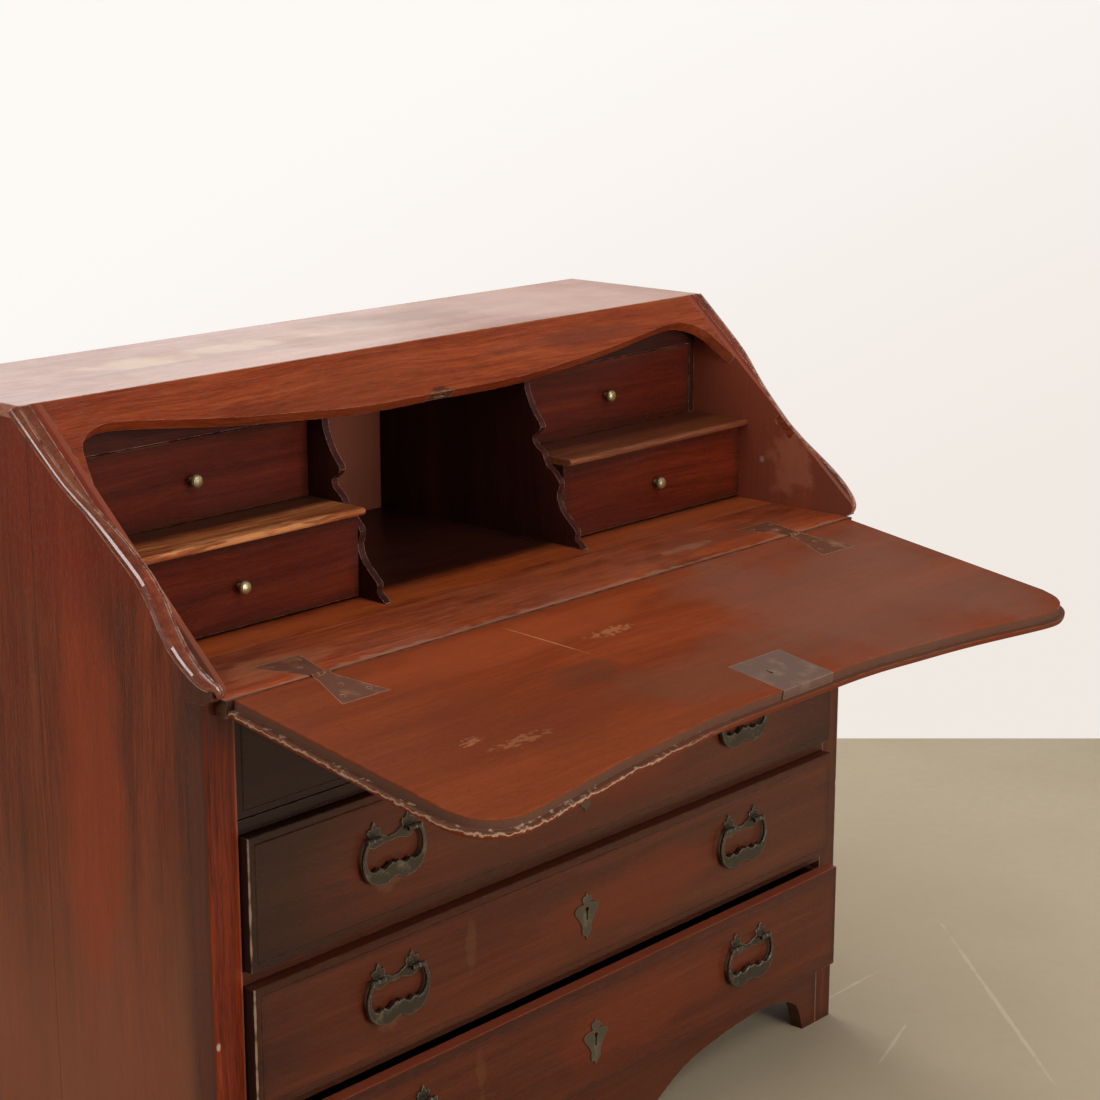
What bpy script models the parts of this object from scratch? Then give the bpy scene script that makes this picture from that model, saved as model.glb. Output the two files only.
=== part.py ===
"""Secretary desk with a shaped fall lid, three wide drawers and four small inner drawers.

Metres, +Z up, +X to the right as seen from the front, the front towards -Y.
The origin is on the floor, in the middle of the box of the desk with its lid down.
Depths are measured from the back of the case towards the front.
"""

import math

import bmesh
import bpy
from mathutils import Vector

# ---- Overall sizes ----
WIDTH = 1.218  # over the edge mouldings
HEIGHT = 1.045
TOP_DEPTH = 0.248
CASE_DEPTH = 0.528  # back of the case to the front of the posts
WRITING_Z = 0.762  # upper face of the writing surface
NOSING = 0.021  # writing surface in front of the posts

# ---- Boards of the case ----
SIDE_T = 0.014
TOP_T = 0.016
BACK_T = 0.012
WRITING_T = 0.020
WRITING_FRONT = 0.136  # front writing board, from its edge back to the joint
POST_W = 0.041
POST_D = 0.030
POST_ROUND = 0.007
TOP_PROUD = 0.015  # top board beyond the sides
RAIL_H = 0.0155
GUIDE_H = 0.020
FASCIA_T = 0.020
APRON_T = 0.020
BASE_H = 0.1025  # top of the bottom board
ROW_HEIGHTS = (0.1523, 0.1529, 0.1608)  # openings of the wide drawers, from below

# ---- Edge moulding and cheek nose ----
MOULDING_PROUD = 0.009  # moulding beyond the top board, at its upper end
MOULDING_FLAT = 0.0028  # flat of the moulding inside its quirk
MOULDING_WALL = 0.0015  # upright edge below the round
QUIRK = 0.0012  # half width and depth of the quirk's groove
NOSE_R = 0.011
NOSE_OUT = 0.0205  # cheek nose in front of the posts
NOSE_DROP = 0.006  # underside of the nose below the writing surface

# ---- Fall rail and lid ----
RAIL_T = 0.016
EAR_W = 0.0075
LID_REBATE = 0.012
LIP_T = 0.009
LIP_W = 0.008
LID_CLEAR = 0.003
LID_DROOP = math.radians(8.5)
HINGE_GAP = 0.0005
HINGE_X = 0.437
HINGE_LONG = 0.073
HINGE_FLARE = 0.071
HINGE_WAIST = 0.027
LEAF_T = 0.0018
KNUCKLE_R = 0.003
LOCK_X = 0.026
LOCK_W = 0.096
LOCK_L = 0.080
LOCK_T = 0.0015
KEY_X = 0.009
STRIKE_W = 0.044
STRIKE_T = 0.0015

# ---- Interior ----
PARTITION_IN = 0.177
PARTITION_T = 0.010
SHELF_Z = 0.877  # upper face
SHELF_T = 0.009
SHELF_DEPTH = 0.363
LOWER_DEPTH = 0.350
UPPER_DEPTH = 0.263
FRIEZE_T = 0.012
SMALL_FRONT_T = 0.012
SMALL_WALL = 0.006
SMALL_LENGTH = 0.225
SMALL_GAP = 0.001  # beside a small drawer
SMALL_IN = 0.0035  # upper drawers' outer ends inside the opening's
RAIL_CLEAR = 0.001  # between the inner fittings and the fall rail
KNOB_R = 0.0082

# ---- Wide drawers ----
FRONT_T = 0.020
BORDER_W = 0.0085
BORDER_STEP = 0.0014
DRAWER_WALL = 0.010
DRAWER_GAP = 0.0015
DRAWER_HEAD = 0.012  # box below the top of its opening
DRAWER_TAIL = 0.012  # free depth behind the box
DRAWER_FLOOR_UP = 0.008
DRAWER_FLOOR_T = 0.007
DRAWER_OUT = (0.034, 0.018, 0.015)  # how far each stands out, from below
HANDLE_X = 0.330
PIVOT_UP = 0.028  # bail axis over the middle of its drawer
PIVOT_OUT = 0.0075
PLATE_T = 0.0025
BAIL_T = 0.005
POST_X = 0.0275  # finial posts, either side of the handle's middle
ESCUTCHEON_X = 0.011
ESCUTCHEON_DOWN = 0.008
ESCUTCHEON_T = 0.0016

# ---- Clearances ----
FIT = 0.0003  # between pieces that touch
OVERLAP = 0.001  # how far solids run into each other before they are joined

# ---- Derived sizes ----
HALF_W = WIDTH / 2
HALF_TOP = HALF_W - MOULDING_PROUD
HALF_CASE = HALF_TOP - TOP_PROUD
HALF_IN = HALF_CASE - SIDE_T
HALF_OPEN = HALF_CASE - POST_W
HINGE_D = CASE_DEPTH + NOSING
WRITING_JOINT = HINGE_D - WRITING_FRONT
UNDER_TOP = HEIGHT - TOP_T - FIT
RISE = HEIGHT - WRITING_Z
RUN = HINGE_D - TOP_DEPTH
SLOPE = math.atan2(RISE, RUN) - math.asin(LID_REBATE / math.hypot(RISE, RUN))
HALF_LID_HOLE = HALF_IN - EAR_W
LID_T = LID_REBATE + LIP_T
RAIL_INNER = LID_REBATE - RAIL_T

# Lower edge of the fall rail: share of the half opening, and distance down the slope from the top edge.
FALL_EDGE = (
    (0.0, 0.0850), (0.18, 0.0855), (0.30, 0.0830), (0.42, 0.0765), (0.54, 0.0700), (0.65, 0.0620),
    (0.77, 0.0515), (0.865, 0.0440), (0.915, 0.0445), (0.957, 0.0540), (0.985, 0.0700), (1.0, 0.0950),
)
EAR_END = 0.120

# Lower edge of the apron: share of the half opening, height above the floor.
APRON_EDGE = (
    (0.0, 0.0090), (0.20, 0.0085), (0.30, 0.0080), (0.335, 0.0130), (0.40, 0.0320), (0.47, 0.0470),
    (0.56, 0.0560), (0.66, 0.0630), (0.77, 0.0660), (0.86, 0.0580), (0.915, 0.0430), (0.935, 0.0200),
    (0.945, 0.0),
)

# Scrolled front edge of a partition, drawn for one run and rise of the slope, and stretched to the desk's own:
# depth in front of the top board's edge, height over the writing surface. It ends a drop under the fall rail.
SCROLL_RUN = 0.301
SCROLL_RISE = 0.283
SCROLL_END = 0.040
SCROLL_DROP = 0.0076
SCROLL = (
    (0.146, 0.0), (0.132, 0.0110), (0.133, 0.0220), (0.119, 0.0350), (0.105, 0.0500), (0.100, 0.0670),
    (0.1045, 0.0830), (0.0925, 0.0970), (0.081, 0.1050), (0.073, 0.1200), (0.060, 0.1300),
    (0.0565, 0.1410), (0.071, 0.1545), (0.056, 0.1750), (0.044, 0.1980),
)

# Edge moulding down the slope: share of the slope from the hinge, its quirk beyond the side board, radius.
MOULDING_LINE = (
    (1.0, 0.0150, 0.0090), (0.85, 0.0150, 0.0075), (0.73, 0.0130, 0.0070), (0.64, 0.0035, 0.0085),
    (0.58, -0.0030, 0.0105), (0.51, -0.0080, 0.0120), (0.41, -0.0120, 0.0125), (0.36, -0.0110, 0.0130),
    (0.315, -0.0090, 0.0135), (0.25, -0.0030, 0.0133), (0.185, 0.0020, 0.0125), (0.12, 0.0040, 0.0105),
    (0.064, 0.0, 0.0100),
)

# Button of a small knob: share of its radius, distance in front of the drawer.
KNOB_BUTTON = ((0.80, 0.0078), (1.0, 0.0098), (0.98, 0.0118), (0.80, 0.0138), (0.48, 0.0150), (0.15, 0.0154))

# The moulding round the nose: angle in the side's plane, quirk beyond the side board, radius.
MOULDING_NOSE = (
    (31, -0.0055, 0.0075), (12, -0.0066, 0.0065), (-7, -0.0076, 0.0057), (-26, -0.0084, 0.0049),
    (-45, -0.0091, 0.0041), (-64, -0.0095, 0.0032),
)


# ---- Frames ----
def slope_point(x, s, e):
    """World point over the closed lid's inner face: s up the slope from the hinge axis, e outwards."""
    depth = HINGE_D - s * math.cos(SLOPE) + e * math.sin(SLOPE)
    return Vector((x, BACK_Y - depth, WRITING_Z + s * math.sin(SLOPE) + e * math.cos(SLOPE)))


def slope_at_depth(depth, e):
    """Distance up the slope where the face at e reaches a depth."""
    return (HINGE_D - depth + e * math.sin(SLOPE)) / math.cos(SLOPE)


def slope_height(depth, e):
    """Height of the face at e over a depth."""
    return WRITING_Z + slope_at_depth(depth, e) * math.sin(SLOPE) + e * math.cos(SLOPE)


TOP_S = slope_at_depth(TOP_DEPTH + FIT, LID_REBATE)
LID_REACH = TOP_S - min(drop for _, drop in FALL_EDGE) - LID_CLEAR + LIP_W
OPEN_DEPTH = HINGE_D + LID_REACH * math.cos(LID_DROOP) - LID_REBATE * math.sin(LID_DROOP)
BACK_Y = OPEN_DEPTH / 2
UPPER_TOP_S = TOP_S - FALL_EDGE[2][1]
UPPER_TOP = WRITING_Z + UPPER_TOP_S * math.sin(SLOPE) + RAIL_INNER * math.cos(SLOPE) - RAIL_CLEAR
NOSE_DEPTH = CASE_DEPTH + NOSE_OUT - NOSE_R
NOSE_Z = slope_height(NOSE_DEPTH, LID_REBATE) - NOSE_R / math.cos(SLOPE)
NOSE_S = slope_at_depth(NOSE_DEPTH, LID_REBATE - NOSE_R)


# ---- Outlines ----
def smooth(points, spans):
    """A curve through all the points, as a list of points, with `spans` steps from each to the next."""
    ends = [2 * Vector(points[0]) - Vector(points[1])]
    tail = [2 * Vector(points[-1]) - Vector(points[-2])]
    p = ends + [Vector(q) for q in points] + tail
    curve = []
    for i in range(1, len(p) - 2):
        for k in range(spans):
            t = k / spans
            a = 2 * p[i] + (p[i + 1] - p[i - 1]) * t
            b = (2 * p[i - 1] - 5 * p[i] + 4 * p[i + 1] - p[i + 2]) * t**2
            c = (3 * p[i] - p[i - 1] - 3 * p[i + 1] + p[i + 2]) * t**3
            curve.append((a + b + c) / 2)
    curve.append(p[-2])
    return curve


def shifted(curve, distance):
    """The open curve moved sideways, to the left of its direction."""
    moved = []
    last = len(curve) - 1
    for i, point in enumerate(curve):
        along = curve[min(i + 1, last)] - curve[max(i - 1, 0)]
        moved.append(point + Vector((-along.y, along.x)).normalized() * distance)
    return moved


def arc(cx, cy, radius, start, stop, steps):
    """Points of an arc, its angles in degrees."""
    angles = [math.radians(start + (stop - start) * k / steps) for k in range(steps + 1)]
    return [Vector((cx + radius * math.cos(a), cy + radius * math.sin(a))) for a in angles]


def mirrored(half):
    """A half outline from one point on the middle line to another, and its mirror image back."""
    back = [Vector((-p[0], p[1])) for p in reversed(half) if abs(p[0]) > 1e-9]
    return [Vector(p) for p in half] + back


# ---- Materials ----
def linear(value):
    """One colour channel from screen values, 0 to 255, to linear light."""
    share = value / 255
    return share / 12.92 if share <= 0.04045 else ((share + 0.055) / 1.055) ** 2.4


def material(name, colour, roughness, metallic):
    """A Principled material of one colour."""
    made = bpy.data.materials.new(name)
    made.use_nodes = True
    shader = made.node_tree.nodes["Principled BSDF"]
    shader.inputs["Base Color"].default_value = (*[linear(c) for c in colour], 1)
    shader.inputs["Roughness"].default_value = roughness
    shader.inputs["Metallic"].default_value = metallic
    made.diffuse_color = (*[linear(c) for c in colour], 1)
    return made


RED_WOOD = (104, 52, 33)
DARK_WOOD = (84, 42, 28)
TOP_WOOD = (128, 84, 66)
INNER_WOOD = (92, 44, 27)
BOX_WOOD = (120, 84, 56)
BRONZE = {"colour": (72, 62, 50), "roughness": 0.45, "metallic": 0.9}
IRON = {"colour": (58, 44, 38), "roughness": 0.5, "metallic": 0.9}
BRASS = {"colour": (150, 128, 84), "roughness": 0.3, "metallic": 1.0}


# ---- Objects ----
def empty(name, location, parent=None, rotation=(0, 0, 0)):
    """A carrier on a joint's axis."""
    made = bpy.data.objects.new(name, None)
    made.empty_display_size = 0.05
    made.location = location
    made.rotation_euler = rotation
    made.parent = parent
    bpy.context.scene.collection.objects.link(made)
    return made


def solid(name, rings, colour=None, roughness=0.45, metallic=0.0, parent=None, closed=False):
    """A closed solid lofted through rings of 3-D points; closed joins the last ring to the first."""
    mesh = bpy.data.meshes.new(name)
    bm = bmesh.new()
    rows = [[bm.verts.new(p) for p in ring] for ring in rings]
    pairs = list(zip(rows, rows[1:]))
    if closed:
        pairs.append((rows[-1], rows[0]))
    for low, high in pairs:
        count = len(low)
        for i in range(count):
            j = (i + 1) % count
            bm.faces.new((low[i], low[j], high[j], high[i]))
    if not closed:
        bm.faces.new(list(reversed(rows[0])))
        bm.faces.new(rows[-1])
    bmesh.ops.recalc_face_normals(bm, faces=bm.faces)
    if bm.calc_volume(signed=True) < 0:
        bmesh.ops.reverse_faces(bm, faces=bm.faces)
    bm.to_mesh(mesh)
    bm.free()
    made = bpy.data.objects.new(name, mesh)
    bpy.context.scene.collection.objects.link(made)
    made.parent = parent
    if colour is None:
        made.hide_render = True
        made.display_type = "WIRE"
    else:
        mesh.materials.append(material(name, colour, roughness, metallic))
    return made


def block(name, x, y, z, **look):
    """A box between two values on each axis."""
    base = [(x[0], y[0]), (x[1], y[0]), (x[1], y[1]), (x[0], y[1])]
    return solid(name, [[(a, b, h) for a, b in base] for h in z], **look)


def plank(name, outline, x, **look):
    """An outline of (depth, height) run across the desk."""
    return solid(name, [[(a, BACK_Y - d, h) for d, h in outline] for a in x], **look)


def plan_board(name, outline, z, **look):
    """An outline of (x, depth) given a thickness upwards."""
    return solid(name, [[(a, BACK_Y - d, h) for a, d in outline] for h in z], **look)


def soften(made, width, segments=1, angle=30, crisp=None):
    """Small arrises along the sharp outward edges; inner corners and edges with a crisp middle stay."""
    bm = bmesh.new()
    bm.from_mesh(made.data)
    weight = bm.edges.layers.float.new("bevel_weight_edge")
    for edge in bm.edges:
        middle = (edge.verts[0].co + edge.verts[1].co) / 2
        kept = crisp is not None and crisp(middle)
        if edge.calc_face_angle_signed(0.0) > math.radians(angle) and not kept:
            edge[weight] = 1.0
    bm.to_mesh(made.data)
    bm.free()
    bevel = made.modifiers.new("arrises", "BEVEL")
    bevel.width = width
    bevel.segments = segments
    bevel.limit_method = "WEIGHT"
    return made


def boolean(made, tool, operation):
    """Cut or join with another solid, which the model then hides."""
    modifier = made.modifiers.new(tool.name, "BOOLEAN")
    modifier.operation = operation
    modifier.solver = "EXACT"
    modifier.object = tool
    return made


def round_shading(made, angle=35):
    """Smooth shading with the sharp edges kept."""
    made.data.shade_smooth()
    made.data.set_sharp_from_angle(angle=math.radians(angle))
    return made


def turned(name, profile, steps, place, **look):
    """A solid of revolution about the Y axis; profile holds (radius, forward) from back to front."""
    angles = [2 * math.pi * k / steps for k in range(steps)]
    rings = []
    for radius, forward in profile:
        ring = [Vector((radius * math.cos(a), -forward, radius * math.sin(a))) for a in angles]
        rings.append([point + Vector(place) for point in ring])
    return round_shading(solid(name, rings, **look))


def barrel(name, x, radius, y, z, steps=12, **look):
    """A cylinder along X."""
    angles = [2 * math.pi * (k + 0.5) / steps for k in range(steps)]
    ring = [(radius * math.cos(a) + y, radius * math.sin(a) + z) for a in angles]
    return solid(name, [[(a, b, c) for b, c in ring] for a in x], **look)


# ---- Case ----
def side_outline():
    """Side board with the sloping cheek, its rounded nose and an arch between the feet."""
    post_back = CASE_DEPTH - POST_D - FIT
    head = WRITING_Z - NOSE_DROP
    points = [(0, 0), (0, UNDER_TOP), (TOP_DEPTH + FIT, UNDER_TOP)]
    points.append((TOP_DEPTH + FIT, slope_height(TOP_DEPTH + FIT, LID_REBATE)))
    points += arc(NOSE_DEPTH, NOSE_Z, NOSE_R, 90 - math.degrees(SLOPE), -70, 7)
    points += [(CASE_DEPTH, head), (post_back, head), (post_back, 0)]
    foot, arch = 0.070, 0.055
    front = post_back - foot / 2
    points += [(front, 0), (front - 0.010, arch * 0.55)]
    points += [(front - 0.045, arch * 0.92), (post_back / 2, arch), (foot + 0.045, arch * 0.92)]
    points += [(foot + 0.010, arch * 0.55), (foot, 0)]
    return points


def under_moulding(middle):
    """True on the outer arris of a cheek, which the edge moulding covers."""
    return abs(middle.x) > HALF_CASE - OVERLAP and middle.z > WRITING_Z


def make_sides():
    stations = moulding_stations()
    for side, name in ((-1, "side_left"), (1, "side_right")):
        board = plank(name, side_outline(), (side * HALF_IN, side * HALF_CASE), colour=RED_WOOD)
        soften(board, 0.0012, crisp=under_moulding)
        boolean(board, moulding_rebate(f"{name}_rebate", side, stations), "DIFFERENCE")


def make_top_and_back():
    outline = [(-HALF_TOP, 0), (HALF_TOP, 0), (HALF_TOP, TOP_DEPTH), (-HALF_TOP, TOP_DEPTH)]
    soften(plan_board("top_board", outline, (HEIGHT - TOP_T, HEIGHT), colour=TOP_WOOD), 0.002, 2)
    half = HALF_IN - FIT
    floor = BASE_H - RAIL_H
    block("back_board", (-half, half), (BACK_Y - BACK_T, BACK_Y), (floor, UNDER_TOP), colour=DARK_WOOD)


def make_posts():
    """Corner posts; outside the writing surface's end a tongue runs up under the nose."""
    shoulder = WRITING_Z - WRITING_T - FIT * 2
    top = WRITING_Z - NOSE_DROP - FIT
    for side, name in ((-1, "post_left"), (1, "post_right")):
        corner = arc(HALF_CASE - POST_ROUND, CASE_DEPTH - POST_ROUND, POST_ROUND, 0, 90, 5)
        outline = [(HALF_OPEN, CASE_DEPTH - POST_D), (HALF_CASE, CASE_DEPTH - POST_D)]
        outline += corner + [(HALF_OPEN, CASE_DEPTH)]
        outline = [(side * a, d) for a, d in outline]
        post = round_shading(plan_board(name, outline, (0, top), colour=RED_WOOD))
        x = sorted((side * (HALF_OPEN - 0.01), side * (HALF_IN + FIT)))
        y = (BACK_Y - CASE_DEPTH - 0.01, BACK_Y - CASE_DEPTH + POST_D + 0.01)
        boolean(post, block(f"{name}_notch", x, y, (shoulder, top + 0.01)), "DIFFERENCE")


# ---- Edge mouldings ----
def moulding_stations():
    """Frames along the moulding from its upper end: point, outward direction, quirk and radius."""
    outward = Vector((math.sin(SLOPE), math.cos(SLOPE)))
    line = [(share * TOP_S, x, r) for share, x, r in MOULDING_LINE] + [(NOSE_S, -0.0045, 0.0084)]
    stations = []
    for s, x, r in smooth(line, 2):
        at = slope_point(0, s, LID_REBATE)
        stations.append((Vector((BACK_Y - at.y, at.z)), outward, HALF_CASE + x, r))
    for angle, x, r in MOULDING_NOSE:
        turn = math.radians(angle)
        away = Vector((math.cos(turn), math.sin(turn)))
        stations.append((Vector((NOSE_DEPTH, NOSE_Z)) + away * NOSE_R, away, HALF_CASE + x, r))
    return stations


def placed(side, station, profile):
    """A moulding profile of (x, outwards) put at a station of one side."""
    at, away, _, _ = station
    ring = []
    for x, out in profile:
        point = at + away * out
        ring.append(Vector((side * x, BACK_Y - point.x, point.y)))
    return ring


def moulding_inside(quirk):
    """Distance of the moulding's inner face from the middle plane."""
    return min(HALF_CASE + FIT, quirk - MOULDING_FLAT)


def moulding_rebate(name, side, stations):
    """What the moulding takes off a side board; where it only lies against it the cutter stands clear."""
    inside = [moulding_inside(quirk) for _, _, quirk, _ in stations]
    rings = []
    for i, station in enumerate(stations):
        near = inside[max(i - 1, 0) : i + 2]
        x = inside[i] - FIT if min(near) < HALF_CASE + FIT else HALF_CASE + 0.002
        low = -station[3] - MOULDING_WALL - FIT
        far = HALF_W + 0.02
        profile = [(x, low), (x, 0), (x, 0.02), (far, 0.02), (far, low)]
        rings.append(placed(side, station, profile))
    return solid(name, rings)


def make_mouldings():
    """Quirked rounds that wander over the cheeks' outer arrises and wrap round their noses."""
    stations = moulding_stations()
    reach = HALF_TOP + FIT
    for side, name in ((-1, "edge_moulding_left"), (1, "edge_moulding_right")):
        rings = []
        for station in stations:
            _, _, quirk, radius = station
            inside = moulding_inside(quirk)
            low = -radius - MOULDING_WALL
            profile = [(inside, low), (inside, 0), (quirk - QUIRK, 0), (quirk, -QUIRK)]
            bend = radius - QUIRK
            profile += [tuple(p) for p in arc(quirk + QUIRK, -bend, bend, 90, 0, 5)]
            profile.append((quirk + radius, low))
            rings.append(placed(side, station, profile))
        bead = solid(name, rings, colour=RED_WOOD, roughness=0.35)
        behind = (BACK_Y - TOP_DEPTH - FIT, BACK_Y)
        cut = block(f"{name}_cut", (-reach, reach), behind, (UNDER_TOP, HEIGHT + 0.1))
        boolean(bead, cut, "DIFFERENCE")
        round_shading(bead, 50)


# ---- Fall rail and strike ----
def fall_curve():
    """Right half of the fall rail's lower edge as (x, distance up the slope), from the middle outwards."""
    points = [(share * HALF_LID_HOLE, TOP_S - drop) for share, drop in FALL_EDGE]
    return smooth(points, 3)


def make_fall_rail():
    curve = fall_curve()
    side = HALF_IN - FIT
    rings = []
    for e in (LID_REBATE, RAIL_INNER):
        top = slope_at_depth(TOP_DEPTH + FIT, e)
        half = [(0, top), (side, top), (side, TOP_S - EAR_END)] + list(reversed(curve))
        rings.append([slope_point(x, s, e) for x, s in mirrored(half)])
    rail = solid("fall_rail", rings, colour=RED_WOOD, roughness=0.4)
    edge = TOP_S - FALL_EDGE[0][1]
    half = STRIKE_W / 2
    through = (RAIL_INNER - 0.002, LID_REBATE + 0.002)
    pocket = strip_on_slope("strike_pocket", half + FIT, (edge - 0.003, edge + STRIKE_T + FIT), through)
    bolt = (RAIL_INNER + 0.005, RAIL_INNER + 0.011)
    mortise = strip_on_slope("strike_mortise", 0.009, (edge - 0.003, edge + 0.010), bolt)
    boolean(rail, pocket, "DIFFERENCE")
    boolean(rail, mortise, "DIFFERENCE")
    depth = (RAIL_INNER + 0.001, LID_REBATE - 0.001)
    plate = strip_on_slope("strike_plate", half, (edge, edge + STRIKE_T), depth, **IRON)
    boolean(plate, mortise, "DIFFERENCE")


def strip_on_slope(name, half, s, e, **look):
    """A box lying on the slope, centred across the desk."""
    rings = []
    for height in s:
        corners = ((-half, e[0]), (half, e[0]), (half, e[1]), (-half, e[1]))
        rings.append([slope_point(x, height, out) for x, out in corners])
    return solid(name, rings, **look)


# ---- Writing surface, rails and base ----
def leaf_outline(grow):
    """Right half of a butterfly leaf as (x, distance from the hinge axis), without its knuckles."""
    start = KNUCKLE_R + FIT - grow
    waist = HINGE_WAIST / 2 + grow
    return [(waist, start), (waist, 0.010), (HINGE_FLARE / 2 + grow, HINGE_LONG + grow)]


def make_writing_surface():
    half = HALF_IN - FIT
    low = WRITING_Z - WRITING_T
    lean = math.tan(LID_DROOP) * WRITING_T
    front = HINGE_D - HINGE_GAP
    outline = [(WRITING_JOINT, low), (front - lean, low), (front, WRITING_Z), (WRITING_JOINT, WRITING_Z)]
    board = plank("writing_board_front", outline, (-half, half), colour=RED_WOOD, roughness=0.4)
    for side, tag in ((-1, "left"), (1, "right")):
        leaf = [(side * HINGE_X + x, HINGE_D - d) for x, d in mirrored_leaf(leaf_outline(FIT))]
        cut = plan_board(f"case_leaf_pocket_{tag}", leaf, (WRITING_Z - LEAF_T - FIT, WRITING_Z + 0.01))
        boolean(board, cut, "DIFFERENCE")
        reach = HINGE_WAIST / 2 + FIT
        x = (side * HINGE_X - reach, side * HINGE_X + reach)
        round_cut = KNUCKLE_R + FIT * 2
        groove = barrel(f"case_knuckle_groove_{tag}", x, round_cut, BACK_Y - HINGE_D, WRITING_Z, 16)
        boolean(board, groove, "DIFFERENCE")
    span = (BACK_Y - WRITING_JOINT + FIT, BACK_Y - BACK_T - FIT)
    look = {"colour": RED_WOOD, "roughness": 0.4}
    soften(block("writing_board_rear", (-half, half), span, (low, WRITING_Z - FIT), **look), 0.0006)


def mirrored_leaf(half):
    """A leaf's whole outline from its right half."""
    return [Vector(p) for p in half] + [Vector((-x, d)) for x, d in reversed(half)]


def row_levels():
    """Bottom and top of each wide drawer's opening, from below."""
    levels = []
    z = BASE_H
    for height in ROW_HEIGHTS:
        levels.append((z, z + height))
        z += height + RAIL_H
    return levels


def dust_board(name, top, front, guided=True):
    """A rail with its dust board behind it and, under a drawer, the drawer's guides along its sides."""
    back = BACK_T + FIT
    shoulder = CASE_DEPTH - POST_D - FIT
    wide = HALF_IN - FIT
    narrow = HALF_OPEN - FIT
    half = [(0, back), (wide, back), (wide, shoulder), (narrow, shoulder), (narrow, front), (0, front)]
    board = plan_board(name, mirrored(half), (top - RAIL_H, top), colour=DARK_WOOD, roughness=0.55)
    if not guided:
        return
    for side, tag in ((-1, "left"), (1, "right")):
        x = sorted((side * HALF_OPEN, side * (wide - OVERLAP)))
        y = (BACK_Y - shoulder + OVERLAP, BACK_Y - back - 0.01)
        guide = block(f"{name}_guide_{tag}", x, y, (top - RAIL_H / 2, top + GUIDE_H))
        boolean(board, guide, "UNION")


def framed_front(name, x, z, face, thickness, parent=None, origin=(0, 0, 0), **look):
    """A board with a stepped border on its face; face is the depth of its front."""
    ox, oy, oz = origin
    back = BACK_Y - face + thickness
    low = BACK_Y - face + BORDER_STEP
    top = BACK_Y - face
    steps = ((0.0, back), (0.0, low + 0.001), (0.001, low), (BORDER_W, low), (BORDER_W + 0.0018, top))
    rings = []
    for inset, y in steps:
        a, b = x[0] + inset - ox, x[1] - inset - ox
        c, d = z[0] + inset - oz, z[1] - inset - oz
        rings.append([(p, y - oy, q) for p, q in ((a, c), (b, c), (b, d), (a, d))])
    return solid(name, rings, parent=parent, **look)


def make_rails_and_base():
    levels = row_levels()
    dust_board("bottom_board", BASE_H, CASE_DEPTH - APRON_T - FIT)
    for tag, (_, top) in zip(("lower", "middle", "upper"), levels):
        dust_board(f"rail_{tag}", top + RAIL_H, CASE_DEPTH, tag != "upper")
    narrow = HALF_OPEN - FIT
    span = (levels[2][1] + RAIL_H + FIT, WRITING_Z - WRITING_T - FIT)
    look = {"colour": DARK_WOOD, "roughness": 0.4}
    framed_front("fascia", (-narrow, narrow), span, CASE_DEPTH, FASCIA_T, **look)
    edge = smooth([(share * HALF_OPEN, z) for share, z in APRON_EDGE], 2)
    half = [(x, max(z, 0.0)) for x, z in edge] + [(narrow, 0), (narrow, BASE_H)]
    outline = mirrored(half)
    rings = [[(x, BACK_Y - d, z) for x, z in outline] for d in (CASE_DEPTH - APRON_T, CASE_DEPTH)]
    solid("apron", rings, colour=DARK_WOOD, roughness=0.45)


# ---- Interior ----
def make_interior():
    outer = PARTITION_IN + PARTITION_T
    back = BACK_T + FIT
    floor = WRITING_Z + FIT
    clear = RAIL_INNER - RAIL_CLEAR
    wide, tall = RUN / SCROLL_RUN, RISE / SCROLL_RISE
    end = TOP_DEPTH + SCROLL_END * wide
    head = WRITING_Z + slope_at_depth(end, clear) * math.sin(SLOPE) + clear * math.cos(SLOPE)
    drawn = [(TOP_DEPTH + d * wide, floor + h * tall) for d, h in SCROLL]
    scroll = smooth(drawn + [(end, head - SCROLL_DROP)], 3)
    run = (UNDER_TOP - FIT - head) / math.tan(SLOPE)
    ceiling = UNDER_TOP - FIT
    outline = [(back, floor)] + scroll
    outline += [(end, head), (end - run, ceiling), (back, ceiling)]
    for side, tag in ((-1, "left"), (1, "right")):
        faces = (side * PARTITION_IN, side * outer)
        round_shading(plank(f"partition_{tag}", outline, faces, colour=INNER_WOOD), 25)
        x = (side * (outer + FIT), side * (HALF_IN - FIT))
        nose = arc(SHELF_DEPTH - SHELF_T / 2, SHELF_Z - SHELF_T / 2, SHELF_T / 2, 90, -90, 6)
        shelf = [(back, SHELF_Z - SHELF_T), (back, SHELF_Z)] + nose
        round_shading(plank(f"shelf_{tag}", shelf, x, colour=INNER_WOOD), 40)
        low = UPPER_TOP + SMALL_GAP
        high = slope_height(UPPER_DEPTH, clear)
        stop = side * (HALF_LID_HOLE - SMALL_IN)
        foot = SHELF_Z + FIT
        strip = [(x[0], low), (stop, low), (stop, foot), (x[1], foot), (x[1], high), (x[0], high)]
        depths = (UPPER_DEPTH - FRIEZE_T, UPPER_DEPTH)
        solid(f"frieze_{tag}", [[(a, BACK_Y - d, h) for a, h in strip] for d in depths], colour=INNER_WOOD)


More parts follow.
